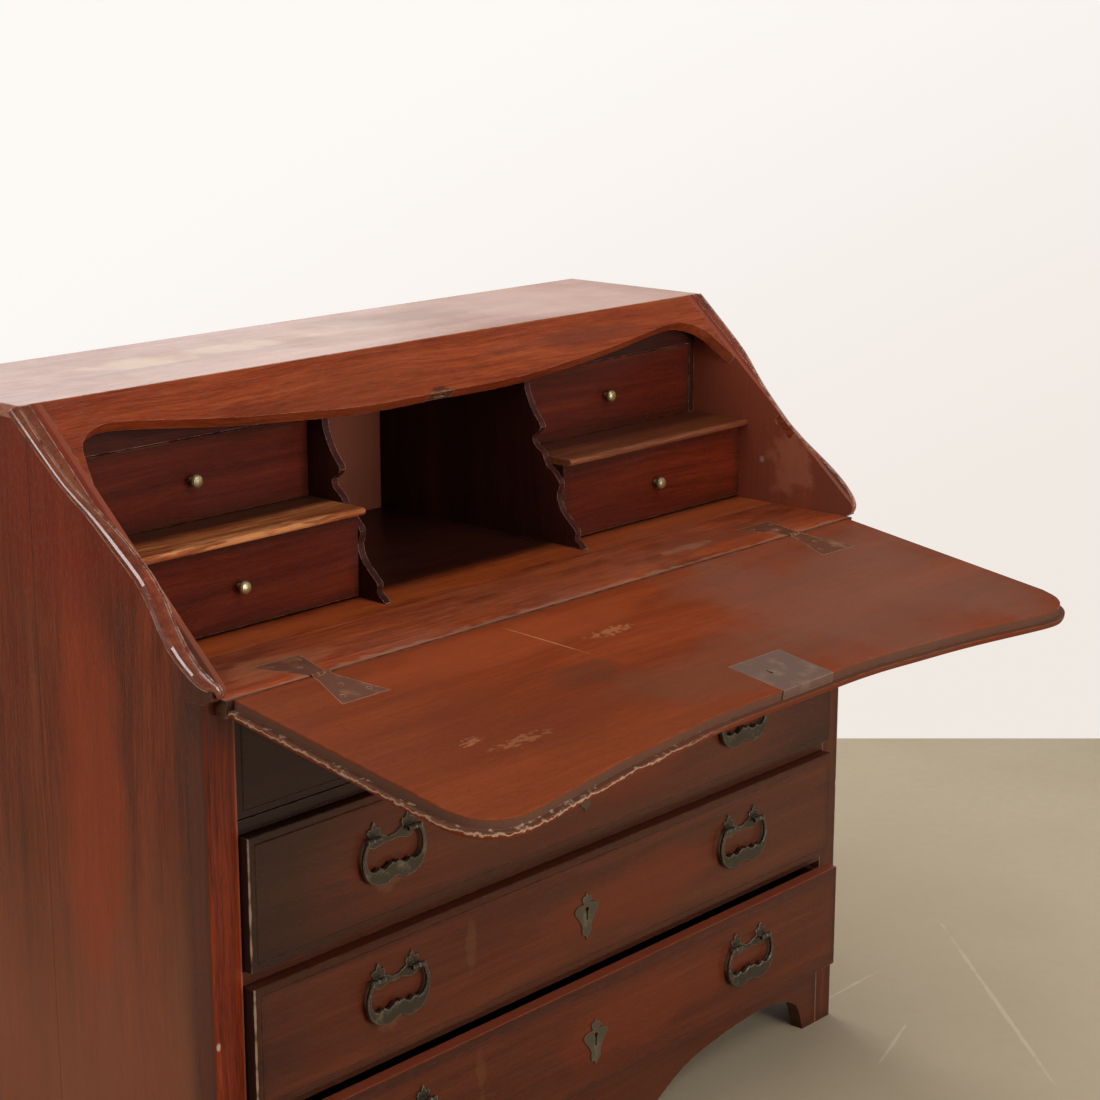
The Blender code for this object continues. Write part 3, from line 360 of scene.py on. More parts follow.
@dataclass(frozen=True)
class Wood:
    """Oiled and waxed mahogany.

    Attributes:
        deep: colour of the dark streaks.
        body: the main colour.
        glow: colour of the light streaks.
        faded: colour of the duller, browner zones.
        worn: colour of rubbed edges.
        dirt: colour of the grime in corners.
        figure: strength of the broad bands.
        streak: strength of the narrow streaks.
        zones: strength of the faded zones.
        bloom: strength of the pale grey haze.
        soil: strength of the dark, handled patches.
        rough: roughness of the bare surface.
        coat: weight of the polish.
        coat_rough: roughness of the polish.
        wear: how much the edges are rubbed.
        arris: how far from an edge it is rubbed, in metres.
        grime: how much dirt lies along the edges.
        shine: how much the bare wood mirrors, half being plain varnish.
    """

    deep: Rgb = tone(58, 22, 12)
    body: Rgb = tone(112, 48, 26)
    glow: Rgb = tone(150, 70, 36)
    faded: Rgb = tone(104, 64, 44)
    worn: Rgb = tone(186, 140, 108)
    dirt: Rgb = tone(36, 22, 16)
    figure: float = 0.4
    streak: float = 0.4
    zones: float = 0.35
    bloom: float = 0.0
    soil: float = 0.25
    rough: float = 0.34
    coat: float = 0.1
    coat_rough: float = 0.2
    wear: float = 0.3
    arris: float = 0.0011
    grime: float = 0.0
    shine: float = 0.2

    def fibres(self, graph: Graph, place: Place, grain: Grain, seed: float) -> dict[str, Field]:
        """The fields that make the grain.

        Args:
            graph: the material's graph.
            place: the object's x, y and z.
            grain: which way the fibres run.
            seed: a number that gives each board its own figure.

        Returns:
            Zones, rings, bands, streaks, threads and pores, each from 0 to 1.
        """
        along, across, through = (place[axis] for axis in grain.value)
        shifted = graph.join(along * 1.6 + seed, across * 5 + seed * 3, through * 5)
        wander = graph.noise(shifted, 1.0, 2.0) - 0.5
        side = across + wander * 0.05
        under = through + wander * 0.03
        heart = ((side - 0.11 * math.sin(seed * 7)) ** 2 + (under + 0.07) ** 2) ** 0.5
        zones = graph.noise(graph.join(along * 1.5 + seed, side * 6, under * 6), 1.0, 3.0, 0.5)
        rings = graph.noise(graph.join(heart * 55, along * 0.9 + seed, 0.0), 1.0, 4.0, 0.65)
        bands = graph.noise(graph.join(along * 1.4 + seed, side * 22, under * 22), 1.0, 3.0, 0.6)
        streaks = graph.noise(graph.join(along * 7 + seed, side * 190, under * 190), 1.0, 4.0, 0.7)
        threads = graph.noise(graph.join(along * 30 + seed, side * 800, under * 800), 1.0, 2.0, 0.7)
        pores = graph.noise(graph.join(along * 90 + seed, side * 1500, under * 1500), 1.0, 1.0, 0.5)
        return {
            "zones": graph.step(zones, 0.42, 0.62),
            "rings": rings,
            "bands": bands,
            "streaks": streaks,
            "threads": threads,
            "pores": graph.step(pores, 0.6, 0.7),
        }

    def edges(self, graph: Graph, place: Place, box: Box) -> Field:
        """Distance in metres from each place to the nearest edge of the piece's box."""
        low, high = box
        gaps = [graph.math("MINIMUM", place[i] - low[i], high[i] - place[i]) for i in range(3)]
        least = graph.math("MINIMUM", gaps[0], gaps[1])
        most = graph.math("MAXIMUM", gaps[0], gaps[1])
        return graph.math("MAXIMUM", least, graph.math("MINIMUM", most, gaps[2]))

    def material(
        self, name: str, grain: Grain, seed: float, box: Box, marks: Marks = ()
    ) -> bpy.types.Material:
        """The finish for one board.

        Args:
            name: the material's name.
            grain: which way the board's fibres run.
            seed: a number that gives the board its own figure.
            box: the board's lowest and highest corner.
            marks: the stains, rubs, scratches and bands on it.

        Returns:
            The material.
        """
        graph = Graph(name)
        place = graph.place()
        parts = self.fibres(graph, place, grain, seed)
        level = (
            (parts["rings"] - 0.5) * (1.6 * self.figure)
            + (parts["bands"] - 0.5) * (1.6 * self.figure)
            + (parts["streaks"] - 0.5) * (2.2 * self.streak)
            + (parts["threads"] - 0.5) * (1.8 * self.streak)
            + 0.5
        )
        colour = graph.ramp(level, [(0.15, self.deep), (0.5, self.body), (0.85, self.glow)])
        if self.zones > 0:
            colour = graph.mix(parts["zones"] * self.zones, colour, self.faded)
        colour = graph.mix(parts["pores"] * 0.4, colour, self.deep)
        spot = graph.join(*place)
        haze = graph.step(graph.noise(spot, 7.0, 4.0, 0.6), 0.42, 0.72)
        if self.bloom > 0:
            colour = graph.mix(haze * self.bloom, colour, tone(140, 104, 86))
        ragged = graph.noise(spot, 70.0, 4.0, 0.7)
        if self.soil > 0:
            along, across, through = (place[axis] for axis in grain.value)
            stretched = graph.join(along * 5 + seed, across * 16, through * 16)
            handled = graph.step(graph.noise(stretched, 1.0, 5.0, 0.65), 0.5, 0.72)
            colour = graph.mix(handled * self.soil, colour, self.deep)
        if self.grime > 0:
            near = graph.step(self.edges(graph, place, box) + (ragged - 0.5) * 0.02, 0.02, 0.0)
            colour = graph.mix(near * self.grime, colour, self.dirt)
        for mark in marks:
            colour = graph.mix(mark.cover(graph, place), colour, mark.colour)
        if self.wear > 0:
            rubbed = graph.corners(self.arris) * graph.step(ragged, 0.38, 0.58) * self.wear
            colour = graph.mix(rubbed, colour, self.worn)
        rough = haze * 0.12 + parts["streaks"] * 0.1 + (self.rough - 0.1)
        height = parts["threads"] * 0.5 + parts["streaks"] * 0.3 - parts["pores"] * 0.5 + haze * 0.2
        return graph.surface(
            {
                "Base Color": colour,
                "Roughness": rough,
                "IOR": 1.45,
                "Specular IOR Level": self.shine,
                "Coat Weight": self.coat,
                "Coat Roughness": self.coat_rough,
                "Normal": graph.bump(height, 0.0002),
            }
        )


@dataclass(frozen=True)
class OldMetal:
    """Bronze, iron or brass that has darkened with age.

    Attributes:
        dark: colour in the hollows.
        bare: colour where it is rubbed.
        edge: colour of its worn edges, which on the bronze pulls also stands for a painted
            highlight.
        rough: roughness where it is rubbed.
        metal: how metallic it is.
        rubbing: how much of it is rubbed, from 0 to 1.
        shine: how much its tarnish mirrors, half being plain varnish.
    """

    dark: Rgb
    bare: Rgb
    edge: Rgb
    rough: float = 0.4
    metal: float = 0.9
    rubbing: float = 0.5
    shine: float = 0.5

    def material(self, name: str, seed: float) -> bpy.types.Material:
        """The finish for one casting or plate.

        Args:
            name: the material's name.
            seed: a number that gives it its own blotches.

        Returns:
            The material.
        """
        graph = Graph(name)
        place = graph.place()
        spot = graph.join(place[0] + seed, place[1], place[2])
        blotch = graph.noise(spot, 45.0, 3.0, 0.55)
        pits = graph.noise(spot, 500.0, 3.0, 0.6)
        least, most = 0.7 - 0.4 * self.rubbing, 0.9 - 0.3 * self.rubbing
        rubbed = graph.step(blotch + (pits - 0.5) * 0.3, least, most)
        colour = graph.mix(rubbed, self.dark, self.bare)
        # Worn edges in the edge colour; on the bronze pulls this is also a painted highlight.
        worn = graph.corners(0.0016) * graph.step(pits, 0.3, 0.5)
        colour = graph.mix(worn * 0.85, colour, self.edge)
        return graph.surface(
            {
                "Base Color": colour,
                "Metallic": rubbed * (self.metal * 0.25) + self.metal * 0.75,
                "Roughness": (self.rough + 0.15) - rubbed * 0.1 + (pits - 0.5) * 0.15,
                "Specular IOR Level": self.shine,
                "Normal": graph.bump(pits, 0.00012),
            }
        )


FRONT_WOOD = Wood(
    deep=tone(54, 22, 11),
    body=tone(82, 35, 17),
    glow=tone(108, 50, 25),
    faded=tone(78, 45, 27),
    streak=0.2,
    grime=0.5,
)
# The front wood darkened as painted shadow of the lid, for the fascia and upper rail under it.
SHADED_FRONT_WOOD = Wood(
    deep=tone(30, 13, 9),
    body=tone(48, 22, 14),
    glow=tone(70, 32, 19),
    faded=tone(44, 26, 18),
    streak=0.3,
    grime=0.5,
)
CASE_WOOD = Wood(
    deep=tone(60, 22, 11),
    body=tone(102, 39, 18),
    glow=tone(138, 59, 26),
    faded=tone(104, 59, 37),
    zones=0.6,
    wear=0.2,
)
POST_WOOD = Wood(
    deep=tone(62, 18, 7),
    body=tone(118, 39, 11),
    glow=tone(156, 64, 22),
    faded=tone(104, 37, 12),
    figure=0.6,
    shine=0.2,
)
RAIL_WOOD = Wood(
    deep=tone(78, 28, 13),
    body=tone(126, 52, 25),
    glow=tone(156, 76, 39),
    faded=tone(116, 60, 36),
    soil=0.4,
    wear=0.7,
    shine=0.16,
)
INNER_WOOD = Wood(
    deep=tone(38, 11, 6),
    body=tone(78, 25, 12),
    glow=tone(112, 41, 18),
    faded=tone(64, 23, 15),
    figure=0.5,
    streak=0.22,
    wear=0.4,
    grime=0.4,
    rough=0.3,
    shine=0.13,
)
SCREEN_WOOD = Wood(
    deep=tone(28, 11, 9),
    body=tone(54, 23, 17),
    glow=tone(78, 34, 24),
    faded=tone(54, 28, 22),
    worn=tone(186, 158, 146),
    streak=0.25,
    wear=0.8,
    shine=0.1,
)
BOARD_WOOD = Wood(
    deep=tone(80, 30, 13),
    body=tone(118, 49, 20),
    glow=tone(146, 68, 30),
    faded=tone(108, 54, 29),
    figure=0.28,
    streak=0.2,
    soil=0.18,
    wear=0.4,
    coat=0.0,
    rough=0.42,
    shine=0.02,
)
DESK_WOOD = Wood(
    deep=tone(76, 28, 14),
    body=tone(138, 58, 26),
    glow=tone(182, 88, 40),
    faded=tone(122, 66, 42),
    bloom=0.15,
    soil=0.7,
    wear=0.5,
    shine=0.12,
)
SHELF_WOOD = Wood(
    deep=tone(96, 44, 22),
    body=tone(154, 84, 44),
    glow=tone(204, 136, 80),
    faded=tone(128, 68, 36),
    streak=0.6,
    wear=0.5,
)
# The top's pale pinkish colours are partly painted sheen: the bright wall mirrored on it.
TOP_WOOD_AND_SHEEN = Wood(
    deep=tone(110, 60, 46),
    body=tone(162, 104, 86),
    glow=tone(190, 136, 116),
    faded=tone(178, 130, 104),
    bloom=0.3,
    rough=0.38,
    coat=0.3,
    coat_rough=0.25,
    wear=0.2,
)
POLISHED = Wood(
    deep=tone(56, 20, 11),
    body=tone(112, 46, 26),
    glow=tone(148, 72, 42),
    worn=tone(220, 190, 166),
    rough=0.3,
    coat=0.8,
    coat_rough=0.07,
    wear=1.0,
    arris=0.0018,
    shine=0.3,
)
RAW_WOOD = Wood(
    deep=tone(66, 42, 28),
    body=tone(112, 78, 52),
    glow=tone(140, 104, 72),
    rough=0.65,
    coat=0.0,
    wear=0.1,
    grime=0.3,
)
# Its pale edge colour is worn bronze and a painted highlight on the pulls.
BRONZE = OldMetal(
    dark=tone(62, 53, 42),
    bare=tone(118, 106, 88),
    edge=tone(208, 198, 176),
    rough=0.22,
    metal=0.85,
    rubbing=0.4,
)
OLIVE = OldMetal(
    dark=tone(74, 65, 48),
    bare=tone(112, 100, 76),
    edge=tone(136, 124, 98),
    rough=0.45,
    metal=0.6,
)
IRON = OldMetal(
    dark=tone(92, 52, 34),
    bare=tone(126, 80, 56),
    edge=tone(196, 158, 128),
    rough=0.4,
    metal=0.08,
    shine=0.08,
)
SCREW = OldMetal(
    dark=tone(104, 70, 54),
    bare=tone(168, 132, 108),
    edge=tone(222, 194, 168),
    rough=0.35,
    metal=0.3,
    shine=0.2,
)
PLATE = OldMetal(
    dark=tone(98, 72, 60),
    bare=tone(118, 90, 75),
    edge=tone(176, 146, 124),
    rough=0.4,
    metal=0.3,
    shine=0.2,
)
BRASS = OldMetal(
    dark=tone(128, 112, 78),
    bare=tone(196, 180, 138),
    edge=tone(220, 208, 172),
    rough=0.28,
    rubbing=0.7,
)


def dress(node: str, material: bpy.types.Material) -> None:
    """Gives a carried-over node its finish.

    Args:
        node: the node's name.
        material: its finish.
    """
    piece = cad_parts[node]
    if not piece.material_slots:
        piece.data.materials.append(material)
    for slot in piece.material_slots:
        slot.material = material
    LOG.info("%s wears %s", node, material.name)


def dress_wood(node: str, wood: Wood, grain: Grain, marks: Marks = ()) -> None:
    """Gives a carried-over board its own cut of a wood.

    Args:
        node: the node's name.
        wood: the wood.
        grain: which way the fibres run.
        marks: the marks on it.
    """
    seed = (sum(ord(letter) * (i + 1) for i, letter in enumerate(node)) % 977) / 37
    dress(node, wood.material(node + "_finish", grain, seed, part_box(node), marks))


SIDES = ("left", "right")
ROWS = ("lower", "middle", "upper")
RIGHT = (1.0, 0.0, 0.0)
LEFT = (-1.0, 0.0, 0.0)
BACK = (0.0, 1.0, 0.0)
UP = (0.0, 0.0, 1.0)
TOP_Z = 1.045  # the top board's upper face
WRITING_Z = 0.762  # the writing surface
POST_FRONT = -0.0697  # the posts' front faces, on y
# Near-black used as painted shade in gaps and on faces behind others, and as the dark joint line in
# each side board.
SHADE_AND_JOINT_DARK = tone(22, 13, 10)
# Pale dust, also used as a painted highlight down the drawer fronts' left arrises.
DUST_AND_HIGHLIGHT = tone(176, 142, 116)
SCUFF = tone(222, 211, 188)


def select_faces(piece: bpy.types.Object, wanted: Callable[[bpy.types.MeshPolygon], bool]) -> None:
    """Selects some faces of a piece in face mode, and leaves it in edit mode.

    Args:
        piece: the piece, in object mode.
        wanted: says of each face whether it is one of them.
    """
    bpy.ops.object.mode_set(mode="EDIT")
    bpy.ops.mesh.select_mode(type="FACE")
    bpy.ops.mesh.select_all(action="DESELECT")
    bpy.ops.object.mode_set(mode="OBJECT")
    for face in piece.data.polygons:
        face.select = wanted(face)
    bpy.ops.object.mode_set(mode="EDIT")


@dataclass
class Screw:
    """A slotted countersunk screw head, a little worn.

    Attributes:
        radius: of its head.
        rise: how far its rim stands out; the small drawers pass just over it.
        dish: how far its face lies under the rim.
        rim: how wide that rim is.
        sunk: how far it goes into the plate.
        slot: half the slot's width.
        slot_depth: how deep the slot is.
    """

    radius: float = 0.0034
    rise: float = 0.0001
    dish: float = 0.0002
    rim: float = 0.0005
    sunk: float = 0.0012
    slot: float = 0.0005
    slot_depth: float = 0.0009

    def model(self) -> bpy.types.Object:
        """Models one head at the origin, facing up.

        Returns:
            The head.
        """
        tall = self.rise + self.sunk
        bpy.ops.mesh.primitive_cylinder_add(
            vertices=28, radius=self.radius, depth=tall, location=(0, 0, self.rise - tall / 2)
        )
        head = bpy.context.object
        bpy.ops.object.transform_apply(location=True, rotation=True, scale=True)
        select_faces(head, lambda face: face.normal.z > 0.9)
        bpy.ops.mesh.inset(thickness=self.rim, depth=-self.dish)
        for edge in (-self.slot, self.slot):
            bpy.ops.mesh.select_all(action="SELECT")
            bpy.ops.mesh.bisect(plane_co=(0, edge, 0), plane_no=(0, 1, 0))
        bpy.ops.object.mode_set(mode="OBJECT")
        select_faces(head, lambda face: face.normal.z > 0.9 and abs(face.center.y) < self.slot)
        bpy.ops.mesh.extrude_region_move(TRANSFORM_OT_translate={"value": (0, 0, -self.slot_depth)})
        bpy.ops.object.mode_set(mode="OBJECT")
        return head

    def place(
        self, name: str, head: bpy.types.Object, spot: Point, tilt: float, spin: float, body: str
    ) -> None:
        """Sets one copy of the head in a leaf.

        Args:
            name: the copy's name.
            head: the head to copy.
            spot: the middle of its face.
            tilt: how far its face leans towards the front, in radians.
            spin: which way its slot points, in radians.
            body: the body that it rides on.
        """
        made = head.copy()
        made.data = head.data.copy()
        made.name = made.data.name = name
        bpy.context.scene.collection.objects.link(made)
        turned = Matrix.Rotation(tilt, 4, "X") @ Matrix.Rotation(spin, 4, "Z")
        made.data.transform(Matrix.Translation(spot) @ turned)
        made.data.materials.clear()
        made.data.materials.append(SCREW.material(name + "_finish", spin))
        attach(made, body)
        LOG.info("%s set in %s", name, body)


@dataclass
class Carcase:
    """The case: sides, posts, rails, base, top and the shaped rail over the opening.

    Attributes:
        rubbed: from the middle to where a side board's rubbed inner part ends.
        inner: from the middle to a side board's inner face.
        joint: the start and end of the joint line in each side board, on y.
        post: from the middle to a post's inner edge and to its outer one.
        plug: how far out and how high the plug in each post is.
    """

    rubbed: float = 0.578
    inner: float = 0.571
    joint: tuple[float, float] = (0.2185, 0.2197)
    post: tuple[float, float] = (0.5462, 0.5835)
    plug: tuple[float, float] = (0.581, 0.3624)

    def side_marks(self, side: str) -> Marks:
        """Marks on one side board: joint line, redder zones, rubs, painted floor light on its foot,
        painted shade at its front, a painted highlight.
        """
        low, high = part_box("side_" + side)
        outer, inwards = (low.x, RIGHT) if side == "left" else (high.x, LEFT)
        inner = math.copysign(self.inner, outer)
        return (
            # Painted bounce light from the floor: lighter and browner towards the foot.
            Band(UP, 0.0, 0.42, tone(130, 74, 50), 0.65, 0.22, 0.05, 5),
            Mark((outer, 0.13, 0.62), (0.0, 0.07, 0.3), tone(134, 50, 22), 0.6, 0.5, 7),
            Mark((outer, 0.16, 0.93), (0.0, 0.2, 0.14), tone(112, 34, 18), 0.6, 0.5, 9),
            # Painted shade over the front strip of the side, by the post.
            Band(BACK, -0.1, -0.03, tone(50, 27, 20), 0.75, 0.015, 0.006, 8),
            Band(inwards, -self.rubbed, 0.0, tone(140, 74, 54), 0.55, 0.002),
            Mark((inner, 0.02, 0.83), (0.005, 0.05, 0.05), tone(164, 98, 74), 0.5, 1.4, 30),
            Band(BACK, *self.joint, SHADE_AND_JOINT_DARK, 0.75, 0.0008, 0.0005, 10),
            # Painted highlight: a pale line down the corner by the post.
            Mark((outer, -0.052, 0.64), (0.0, 0.0012, 0.13), tone(136, 112, 112), 0.5, 0.4, 30),
            Mark((inner, 0.0684, 0.8227), (0.01, 0.005, 0.006), tone(150, 128, 112), 0.7),
        )

    def post_marks(self, side: str) -> Marks:
        """The marks on one post: painted shade on its outer side, painted shadow at its top, a
        rubbed inner edge and a plug.
        """
        outwards, inwards = (LEFT, RIGHT) if side == "left" else (RIGHT, LEFT)
        plug = (outwards[0] * self.plug[0], POST_FRONT, self.plug[1])
        return (
            # Painted shade on the post's outer side.
            Band(outwards, self.post[1], 0.7, tone(64, 34, 24), 0.8, 0.0008),
            # Painted shadow under the moulding's end and the lid, at the post's top.
            Band(UP, 0.715, 0.8, tone(60, 26, 20), 0.8, 0.03, 0.01, 20),
            Band(inwards, -self.post[0], 0.0, tone(156, 92, 70), 0.55, 0.0004),
            Mark(plug, (0.003, 0.004, 0.006), tone(196, 168, 146), 0.7, 0.3, 200),
        )

    def dress(self) -> None:
        """Gives every board of the case its finish."""
        for side in SIDES:
            dress_wood("side_" + side, CASE_WOOD, Grain.UPRIGHT, self.side_marks(side))
            wood = POST_WOOD if side == "left" else FRONT_WOOD
            dress_wood("post_" + side, wood, Grain.UPRIGHT_FRONT, self.post_marks(side))
            dress_wood("edge_moulding_" + side, POLISHED, Grain.DEEP_SIDE)
        for row in ROWS:
            dress_wood("rail_" + row, SHADED_FRONT_WOOD if row == "upper" else FRONT_WOOD, Grain.LONG_FRONT)
        # Painted shadow of the lid, deepening towards the fascia's right end.
        shaded = (Band(RIGHT, 0.3, 1.0, SHADE_AND_JOINT_DARK, 0.4, 0.15),)
        dress_wood("fascia", SHADED_FRONT_WOOD, Grain.LONG_FRONT, shaded)
        dress_wood("apron", FRONT_WOOD, Grain.LONG_FRONT)
        dress_wood("fall_rail", RAIL_WOOD, Grain.LONG_FRONT, self.rail_marks())
        top = (
            Mark((-0.22, 0.34, TOP_Z), (0.26, 0.035, 0.0), tone(206, 176, 128), 0.35, 0.9, 14),
            Mark((0.2, 0.36, TOP_Z), (0.2, 0.05, 0.0), tone(104, 58, 44), 0.4, 0.9, 12),
            # Painted sheen: a paler patch over the right of the top.
            Mark((0.42, 0.33, TOP_Z), (0.22, 0.2, 0.0), tone(198, 154, 136), 0.5, 0.5, 8),
        )
        dress_wood("top_board", TOP_WOOD_AND_SHEEN, Grain.LONG, top)
        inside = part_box("back_board")[0].y
        dark = (Band(BACK, inside - 0.01, inside + 0.001, tone(112, 56, 37), 0.9, 0.0005),)
        dress_wood("back_board", RAW_WOOD, Grain.UPRIGHT_FRONT, dark)
        dress_wood("bottom_board", RAW_WOOD, Grain.LONG)

    def rail_marks(self) -> Marks:
        """The marks on the rail over the opening: a chip at the strike and a darker stretch."""
        return (
            Mark((-0.004, 0.148, 0.9865), (0.022, 0.02, 0.01), tone(48, 26, 20), 0.8, 0.6, 60),
            Mark((0.28, 0.18, 1.02), (0.16, 0.06, 0.012), tone(96, 46, 34), 0.5, 0.8, 14),
        )


@dataclass
class WritingSurface:
    """The two boards inside, and the strike plate on the rail over them.

    Attributes:
        end: from the middle to where the front board's ends begin.
        edge: where its rounded front edge begins, on y.
    """

    end: float = 0.5702
    edge: float = -0.0878

    def dress(self) -> None:
        """Gives both boards and the plate their finish."""
        pale, scratched = tone(166, 104, 70), tone(150, 108, 84)
        front = (
            Mark((0.35, -0.02, WRITING_Z), (0.18, 0.04, 0.0), tone(108, 56, 38), 0.5, 0.7, 20),
            Mark((0.28, -0.03, WRITING_Z), (0.06, 0.014, 0.0), scratched, 0.4, 1.2, drawn=0.4),
            Band(BACK, -0.2, -0.08, DUST_AND_HIGHLIGHT, 0.24, 0.004, 0.012, 40),
            # Painted shade on the board's two end faces.
            Band(LEFT, self.end, 1.0, tone(44, 23, 18), 0.9, 0.0003),
            Band(RIGHT, self.end, 1.0, tone(44, 23, 18), 0.9, 0.0003),
            # Painted shade on the board's front face, in the joint with the lid.
            Band(BACK, -0.2, self.edge, SHADE_AND_JOINT_DARK, 0.85, 0.0006, 0.0005, 60),
            Band(BACK, 0.0435, 0.2, SHADE_AND_JOINT_DARK, 0.4, 0.0008, 0.0005, 50),
            Mark((-0.45, -0.03, WRITING_Z), (0.1, 0.04, 0.0), pale, 0.35, 1.0, 30, drawn=0.4),
        )
        rear = (
            # Painted light: a brighter orange strip in front of the painted shadow.
            Band(BACK, 0.056, 0.1, tone(168, 80, 36), 0.5, 0.015, 0.008, 20),
            # Painted shadow on the board in under the fittings.
            Band(BACK, 0.112, 1.0, tone(26, 12, 10), 0.92, 0.02, 0.004, 20),
        )
        dress_wood("writing_board_front", DESK_WOOD, Grain.LONG, front)
        dress_wood("writing_board_rear", DESK_WOOD, Grain.LONG, rear)
        dress("strike_plate", IRON.material("strike_plate_finish", 3.0))


@dataclass
class Interior:
    """The fitted inside: scrolled partitions, shelves, friezes and four small drawers.

    Attributes:
        shelf_dark: how far forward the painted shade over the back of each shelf comes.
        rub: the pale stretch along the left shelf.
        shadow: the shadow on the right shelf.
    """

    shelf_dark: float = 0.152
    rub: Mark = Mark(
        (-0.37, 0.1, 0.875), (0.13, 0.012, 0.0), tone(214, 146, 90), 0.5, 1.9, 90, drawn=0.2
    )
    shadow: Band = Band(BACK, 0.0, 1.0, tone(78, 38, 26), 0.72, 0.006, 0.012, 30)

    def dress(self) -> None:
        """Gives every piece of the inside its finish."""
        for side in SIDES:
            dress_wood("partition_" + side, SCREEN_WOOD, Grain.UPRIGHT)
            # Painted shade over the back of each shelf.
            dark = Band(BACK, self.shelf_dark, 1.0, tone(30, 15, 11), 0.88, 0.012, 0.004, 30)
            own = self.rub if side == "left" else self.shadow
            dress_wood("shelf_" + side, SHELF_WOOD, Grain.LONG, (dark, own))
            dress_wood("frieze_" + side, SCREEN_WOOD, Grain.LONG_FRONT)
            for level in ("lower", "upper"):
                node = f"small_drawer_{level}_{side}"
                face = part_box(node)[0].y
                # Painted shade on the sides and top behind each small drawer's face.
                behind = (Band(BACK, face + 0.002, 1.0, SHADE_AND_JOINT_DARK, 0.6, 0.001),)
                dress_wood(node, INNER_WOOD, Grain.LONG_FRONT, behind)
                dress(node + "_knob", BRASS.material(node + "_knob_finish", 1.0))


@dataclass
class FallFront:
    """The lid that folds down to write on, with its lock and hinges.

    Attributes:
        fall: how far the open lid slopes, in degrees.
        hinge: the y and z of its hinge line.
        lip: how far below the face the rebate's floor ends.
        screws: each screw's place on a leaf: its share of half the width, and of the reach.
    """

    fall: float = 8.5
    hinge: tuple[float, float] = (-0.0907, WRITING_Z)
    lip: float = 0.0125
    screws: tuple[tuple[float, float], ...] = ((-0.55, 0.78), (0.55, 0.78), (0.0, 0.45))

    def marks(self) -> Marks:
        """The lid's marks: painted shade in the rebate, scratches, a stained hinge line and a haze
        of painted sheen.
        """
        lean = math.radians(self.fall)
        down = (0.0, math.sin(lean), -math.cos(lean))
        face = self.hinge[0] * down[1] + self.hinge[1] * down[2]
        chip = face + self.lip + 0.001
        pale, bare = tone(196, 142, 96), tone(204, 174, 148)
        return (
            # Painted sheen: a greyish haze over the lid's right part, the wall mirrored.
            Mark((0.34, -0.28, 0.72), (0.33, 0.25, 0.0), tone(108, 80, 66), 0.4, 0.8, 6),
            Mark((-0.2, -0.14, 0.75), (0.3, 0.05, 0.0), tone(136, 62, 30), 0.5, 0.6, 9),
            Band(BACK, -0.094, 0.0, tone(74, 42, 30), 0.5, 0.001, 0.002, 30),
            Mark((-0.425, -0.307, 0.7297), (0.014, 0.008, 0.012), pale, 0.34, 3.0, 200, drawn=0.4),
            Mark((-0.38, -0.333, 0.7258), (0.038, 0.009, 0.012), pale, 0.24, 3.4, 200, drawn=0.35),
            Mark((-0.06, -0.184, 0.7481), (0.034, 0.008, 0.012), pale, 0.24, 3.4, 240, drawn=0.5),
            Mark((-0.3, -0.3, 0.72), (0.22, 0.09, 0.0), tone(84, 36, 18), 0.28, 0.8, 6),
            Mark((0.0, -0.33, 0.72), (0.24, 0.07, 0.0), tone(92, 62, 44), 0.38, 0.9, 8),
            Mark((-0.18, -0.255, 0.72), (0.07, 0.035, 0.0), tone(74, 44, 30), 0.4, 1.0, 14),
            Mark((-0.147, -0.163, 0.7512), (0.0012, 0.08, 0.016), pale, 0.6, 0.5, 120, slant=-0.27),
            # Painted shade in the rebate along the lid's edge.
            Band(down, face + 0.002, face + self.lip, tone(88, 64, 52), 0.85, 0.0008, 0.0006, 60),
            Band(down, face + self.lip + 0.0005, 1.0, tone(88, 42, 28), 0.6, 0.0005),
            Band(down, chip, chip + 0.002, bare, 0.5, 0.0008, 0.0045, 90, left_of=-0.2),
        )

    def dress(self) -> None:
        """Gives the lid and its fittings their finish."""
        dress_wood("lid_board", BOARD_WOOD, Grain.LONG, self.marks())
        dress("lid_lock", PLATE.material("lid_lock_finish", 5.0))
        for side in SIDES:
            for leaf in ("case", "lid"):
                node = f"hinge_{leaf}_leaf_{side}"
                dress(node, IRON.material(node + "_finish", 7.0))

    def screw(self) -> None:
        """Sets the screws in each hinge leaf: two by its wide end, one nearer the hinge line."""
        screw = Screw()
        head = screw.model()
        lean = math.radians(self.fall)
        for side in SIDES:
            for leaf, away in (("case", 1), ("lid", -1)):
                low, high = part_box(f"hinge_{leaf}_leaf_{side}")
                middle = (low.x + high.x) / 2
                half = (high.x - low.x) / 2
                reach = high.y - self.hinge[0] if away > 0 else self.hinge[0] - low.y
                body = "lid" if leaf == "lid" else "case"
                tilt = lean if away < 0 else 0.0
                for i, (across, out) in enumerate(self.screws):
                    y = self.hinge[0] + away * out * reach
                    z = self.hinge[1] + (away < 0) * (y - self.hinge[0]) * math.tan(lean)
                    spot = (middle + across * half, y, z)
                    spin = 1.1 * i + 0.4 * away
                    screw.place(f"hinge_{leaf}_{side}_screw_{i + 1}", head, spot, tilt, spin, body)
        bpy.data.objects.remove(head)


